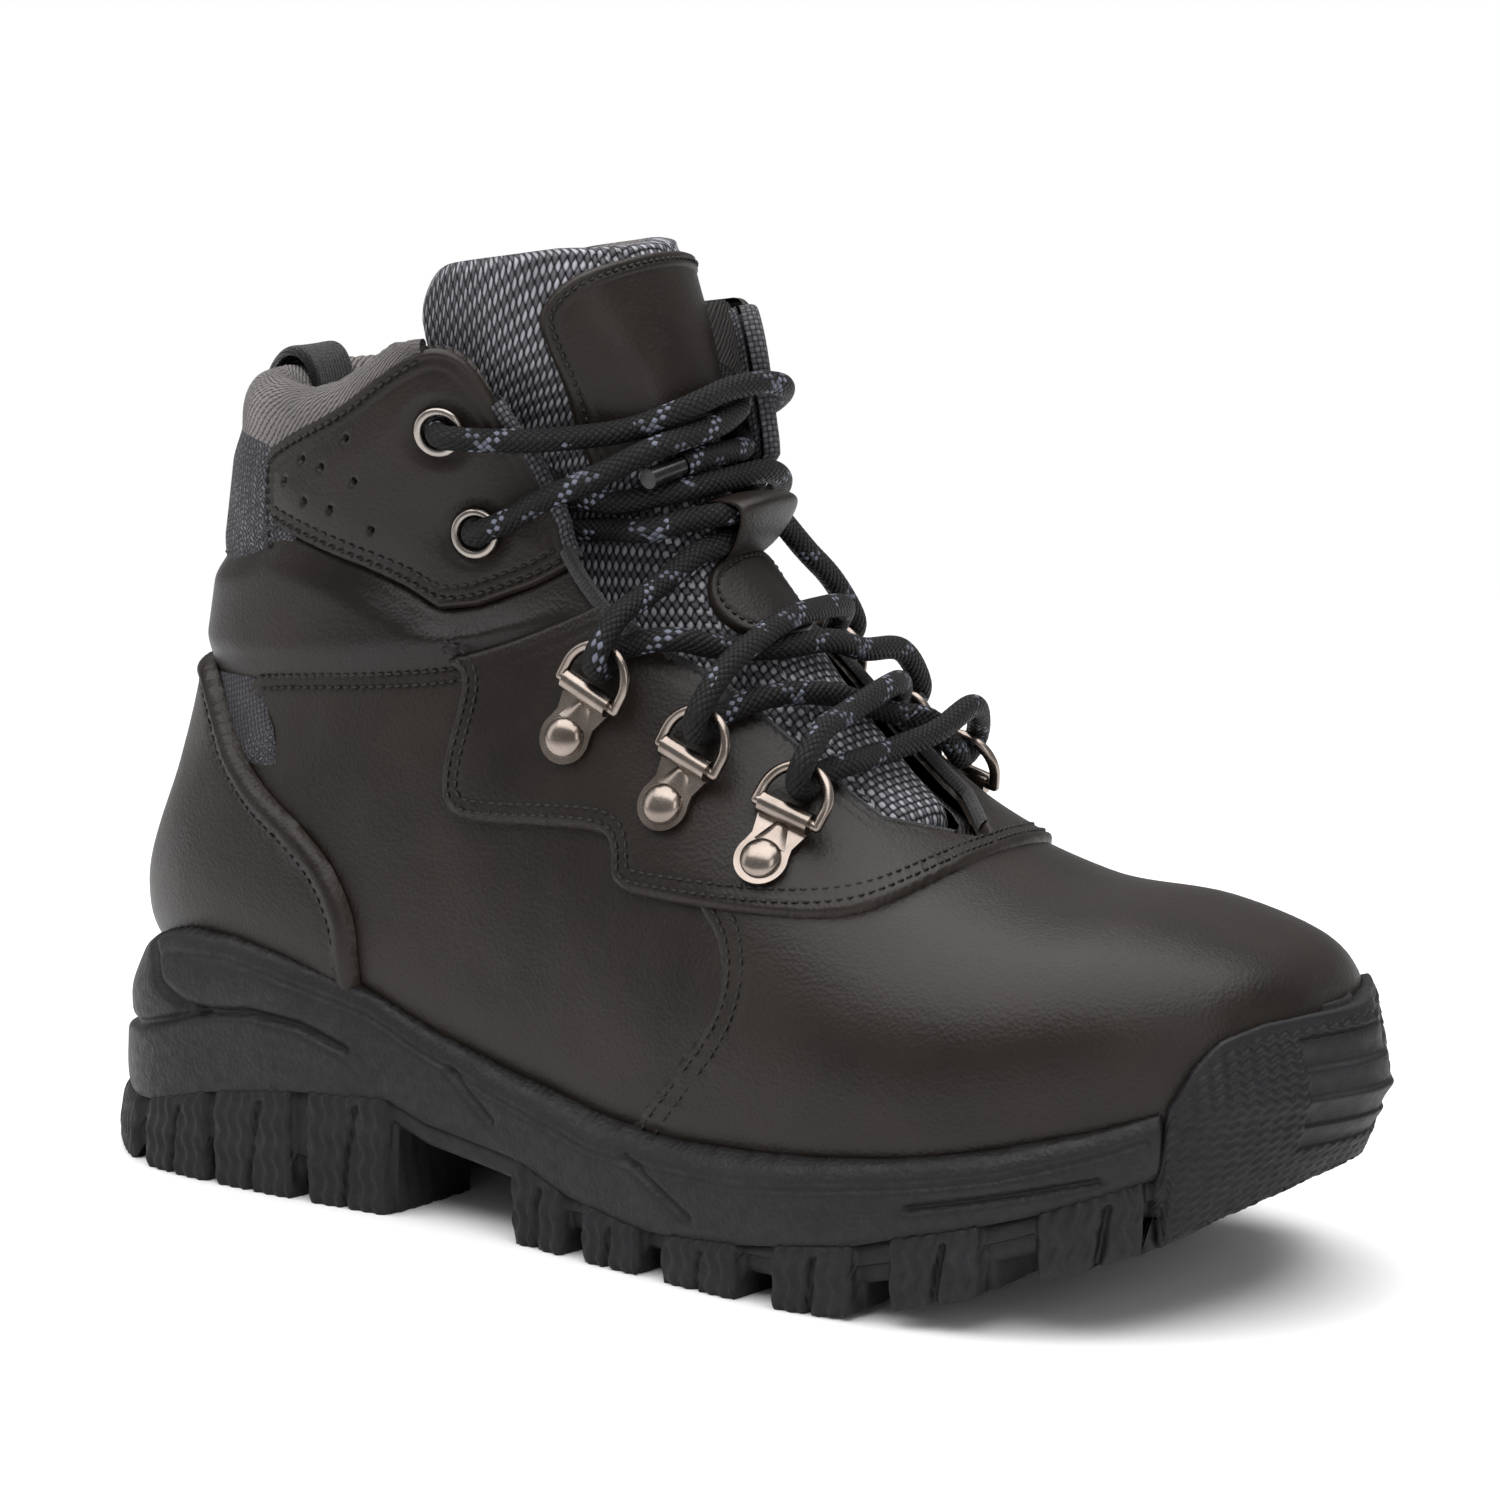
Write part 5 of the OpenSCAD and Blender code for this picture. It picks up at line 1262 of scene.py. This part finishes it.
def lug_mask(x):
    """About 1 inside a lug's x range and 0 between lugs."""
    m = np.zeros(np.shape(x))
    for a, b in LUGS + [TOE_BLOCK]:
        m = np.maximum(m, step_up(np.minimum(x - a, b - x)))
    return m


def tread_bottom(x, lug):
    low = interp(x, LUG_FACE)
    deep = low + LUG_DEEP
    arch = (x > ARCH[0]) & (x < ARCH[1])
    deep = np.where(arch, np.maximum(deep, interp(x, TREAD_TOP) - 4), deep)
    return deep + (low - deep) * lug


SKIN_TO_Z = 62
skin_s, skin_a = np.meshgrid(np.arange(0.0, 12.0, 0.05), np.arange(-180, 180, 1.5), indexing="ij")
SKIN_POINTS = skin(skin_s, skin_a).reshape(-1, 3)
SKIN_OUT = outward(skin_s, skin_a).reshape(-1, 3)
low_down = SKIN_POINTS[:, 2] < SKIN_TO_Z
SKIN_POINTS, SKIN_OUT = SKIN_POINTS[low_down], SKIN_OUT[low_down]
skin_tree = KDTree(len(SKIN_POINTS))
for i, q in enumerate(SKIN_POINTS):
    skin_tree.insert(q, i)
skin_tree.balance()


UPPER_FROM_Z = 14
MOST_MOVE = 3.0
CAP_REACH, CAP_SINK = 9, 0.9
GAP_ROWS = [[0, 1.0], [0.93, 1.0], [1, 0.6]]


def clear_of_upper(P, v):
    """Moves a wall's points that lie too near the upper outwards, smoothly."""
    move = np.zeros(P.shape[:-1])
    gap = interp(v[:, 0], GAP_ROWS)
    for i, j in np.argwhere(P[..., 2] > UPPER_FROM_Z):
        k = skin_tree.find(P[i, j])[1]
        n = SKIN_OUT[k]
        short = gap[i] - float((P[i, j] - SKIN_POINTS[k]) @ n)
        if short > 0:
            move[i, j] = min(short / max(float(n[:2] @ RIM_OUT[j]), 0.5), MOST_MOVE)
    # round the toe a whole column moves as far as its farthest point
    toe = ease((rim[:, 0] - 97) / 4)
    move = move * (1 - toe) + toe * ease(v / 0.4) * move.max(0)
    for axis, reach in ((1, 12), (0, 4)):
        for i in range(reach * 5):
            back, ahead = wrap_shift(move, 1, axis), wrap_shift(move, -1, axis)
            if i < reach:
                move = np.maximum(move, 0.98 * np.maximum(back, ahead))
            else:
                move = 0.5 * move + 0.25 * (back + ahead)
    out = P.copy()
    out[..., :2] += RIM_OUT * move[..., None]
    return out


def wrap_shift(q, by, axis):
    """Neighbours along the ring wrap round; the wall's first and last rows repeat."""
    if axis:
        return np.roll(q, by, 1)
    return np.vstack([q[:1], q[:-1]]) if by > 0 else np.vstack([q[1:], q[-1:]])


def wall(name, look, nodes, low, high, rows, push, curve):
    """A band of the sole's side between two height lines, with push(x, y, z, v, run) outwards."""
    x, y = rim[:, 0], rim[:, 1]
    v = np.linspace(0, 1, rows)[:, None]
    z = low + (high - low) * v
    X, Y, R = (np.broadcast_to(q, z.shape) for q in (x, y, RIM_RUN))
    d = -curve * (2 * v - 1) ** 4
    P = np.stack([lean(X, z) + RIM_OUT[:, 0] * d, Y + RIM_OUT[:, 1] * d, z], -1)
    P = clear_of_upper(P, v)
    P[..., :2] += RIM_OUT * push(X, Y, z, v, R)[..., None]
    to = P[-1] - np.hstack([RIM_OUT * 4, np.full((RIM_N, 1), 1.5)])
    for i, q in enumerate(P[-1]):
        k = skin_tree.find(q)[1]
        if np.linalg.norm(SKIN_POINTS[k] - q) < CAP_REACH:
            to[i] = SKIN_POINTS[k] - SKIN_OUT[k] * CAP_SINK
    cap = []
    for t in (0.12, 0.3, 0.6, 1.0):
        e = P[-1] + (to - P[-1]) * t
        e[:, 2] += 0.5 * math.sin(math.pi * t ** 0.6)
        cap.append(e)
    P = np.concatenate([P, np.array(cap)], 0)
    piece(name, P.reshape(-1, 3), grid_faces(P.shape[0], P.shape[1], True), look, nodes)
    return P


LUG_STEP = 2.5
RIB_PITCH = 2.6
PANEL_RUN, PANEL_Z = (267, 303), (27, 45.5)
RIDGE_PITCH = 4.5


def tread_push(x, y, z, v, r):
    """Lugs with wavy ribs and a slit up the middle of each."""
    lug = lug_mask(x)
    body = -LUG_STEP * (1 - lug)
    middle = np.zeros(x.shape)
    for a, b in LUGS:
        c = (a + b) / 2
        middle = np.maximum(middle, 1 - ease(np.abs(x - c - 0.15 * (z - 5)) / 0.9))
    body = body - 1.5 * middle * lug * ease((interp(x, TREAD_TOP) - z - 1.0) / 1.5)
    wavy = np.sin(2 * math.pi * (r + 0.5 * np.sin(z * 1.1)) / RIB_PITCH)
    body = body + 0.28 * wavy * lug * (1 - middle)
    gap_block = (1 - lug) * 0.9 * ease((z - interp(x, LUG_FACE) - 7.2) / 0.6)
    return body + gap_block


HEEL_GROOVE = [[-104, 42], [-97.8, 37.5], [-94.4, 33.5], [-88, 31], [-82.4, 30]]
HEEL_ARC = [[-121, 21], [-112, 23], [-104, 24.5], [-94, 26.8], [-82.4, 30], [-71.6, 31.3],
            [-61.3, 30.5], [-52, 27.5]]
SLITS = [[[-30, 26.7], [-21.5, 20]], [[8, 19.3], [21.5, 11.7]],
         [[62, 19.4], [76.4, 22.5], [90, 25.5]]]
GROOVES = [(HEEL_GROOVE, 0.9, 1.3), (HEEL_ARC, 0.9, 1.3)] + [(q, 0.75, 1.1) for q in SLITS]


def midsole_push(x, y, z, v, r):
    """Grooves, a ledge and a swell at the heel, and a line below the top edge."""
    d = np.full(x.shape, 0.15)
    for line, wide, deep in GROOVES:
        d = d - deep * np.exp(-(line_distance(x, z, line) / wide) ** 1.6)
    below = interp(x, HEEL_ARC) - z
    d = d + 0.8 * np.exp(-np.maximum(below, 0) / 5) * ease(below / 0.8) * ease((-46 - x) / 10)
    over = z - interp(x, HEEL_ARC)
    d = d + 0.7 * np.exp(-((over - 6) / 4) ** 2) * ease((-56 - x) / 10)
    top = interp(x, TOP_EDGE)
    return d - 0.5 * np.exp(-((z - top + 2.6) / 0.6) ** 2) * (x < 96) * ease((x + 100) / 10)


def bumper_push(x, y, z, v, r):
    """Zigzag ribs round a sunk panel of ridges."""
    zig = np.abs(((r / RIB_PITCH) % 1) - 0.5) * 2
    ribs = np.sin(2 * math.pi * (z - 0.9 * zig) / 1.6)
    wide = np.minimum(r - PANEL_RUN[0], PANEL_RUN[1] - r)
    panel = ease(wide / 1.2) * ease((z - PANEL_Z[0]) / 0.8) * ease((PANEL_Z[1] - z) / 0.8)
    saw = ((z - PANEL_Z[0]) / RIDGE_PITCH) % 1
    lip = ease((interp(x, TOP_EDGE) - z - 0.5) / 0.8)
    return (0.35 * ease((x - 97) / 3) + 0.6 * ease((z - 33) / 4) * ease((x - 98) / 2)
            + 0.2 * ribs * (1 - panel) * lip * ease((x - 97) / 1.5)
            - panel * (0.9 - 0.65 * ease(saw / 0.85) * ease((1 - saw) / 0.15)))


x = rim[:, 0]
split, top_rim = interp(x, TREAD_TOP), interp(x, TOP_EDGE)
SEAM_X, SEAM_WIDE, MIDSOLE_TUCK = 97.2, 1.2, 2.2
toe_blend = ease((x - SEAM_X) / SEAM_WIDE)


def tread_or_toe(X, Y, z, v, r):
    toe = ease((X - 96.5) / 2)
    under_gap = LUG_STEP * (1 - lug_mask(X)) * (z < interp(X, LUG_FACE) + LUG_DEEP)
    return (tread_push(X, Y, z, v, r) * (1 - toe)
            + toe * (bumper_push(X, Y, z, v, r) - under_gap))


def midsole_to_toe(X, Y, z, v, r):
    return midsole_push(X, Y, z, v, r) - MIDSOLE_TUCK * ease((X - SEAM_X) / SEAM_WIDE)


tread_pts = wall("outsole_side_rubber", RUBBER, ["outsole"], tread_bottom(x, lug_mask(x)),
                 split + (top_rim - split) * toe_blend, 120, tread_or_toe, 0.7)
wall("midsole_side_rubber", FOAM, ["midsole"], split, top_rim, 60, midsole_to_toe, 1.0)

# underside: a height field that starts from the lowest ring of the tread's side
ring = tread_pts[0]
outer = ring[:, 1] < interp(ring[:, 0], [[-122, 2], [116, 8]])


def half(mask):
    q = ring[mask][np.argsort(ring[mask][:, 0])]
    return q[np.r_[True, np.diff(q[:, 0]) > 0.02]]


near_side, far_side = half(outer), half(~outer)
ux = near_side[:, 0]
w = np.linspace(0, 1, 140)
UX, W = np.meshgrid(ux, w, indexing="ij")
far_y = np.interp(ux, far_side[:, 0], far_side[:, 1])
UY = near_side[:, 1:2] * (1 - W) + far_y[:, None] * W
lug = np.zeros(UX.shape)
edge_at = interp(UX, [[-115, 14], [-98, 30], [-70, 34], [-10, 38], [40, 46], [66, 45], [90, 36]])
for a, b in LUGS:
    for sgn in (-1, 1):
        reach = np.abs(UY) - (edge_at - 22)
        slant = 3 * (1 - ease(reach / 30))
        m = step_up(np.minimum(UX - a - slant, b + slant - UX)) * step_up(reach)
        lug = np.maximum(lug, m * (np.sign(UY) == sgn))
ARROW = [[-8, -9], [0, 0], [-8, 9], [-1, 12], [8, 0], [-1, -12]]
HEEL_BLOCK = [[-104, -6], [-98, -8], [-90, 0], [-98, 8], [-104, 6], [-99, 0]]
for block, pitch, count in ((ARROW, 17, 6), (HEEL_BLOCK, 20, 3)):
    for i in range(count):
        outline = np.array(block, float) + [pitch * i, 0]
        lug = np.maximum(lug, step_up(inside_distance(UX, UY, outline)))
UZ = tread_bottom(UX, lug)
UZ = UZ + 0.25 * lug * (np.abs(((UX + 0.5 * np.sin(UY)) / RIB_PITCH % 1) - 0.5) > 0.38)
UZ[:, 0] = near_side[:, 2]
UZ[:, -1] = np.interp(ux, far_side[:, 0], far_side[:, 2])
P = np.stack([UX, UY, UZ], -1)
piece("outsole_tread_rubber", P.reshape(-1, 3), grid_faces(*UX.shape), RUBBER)
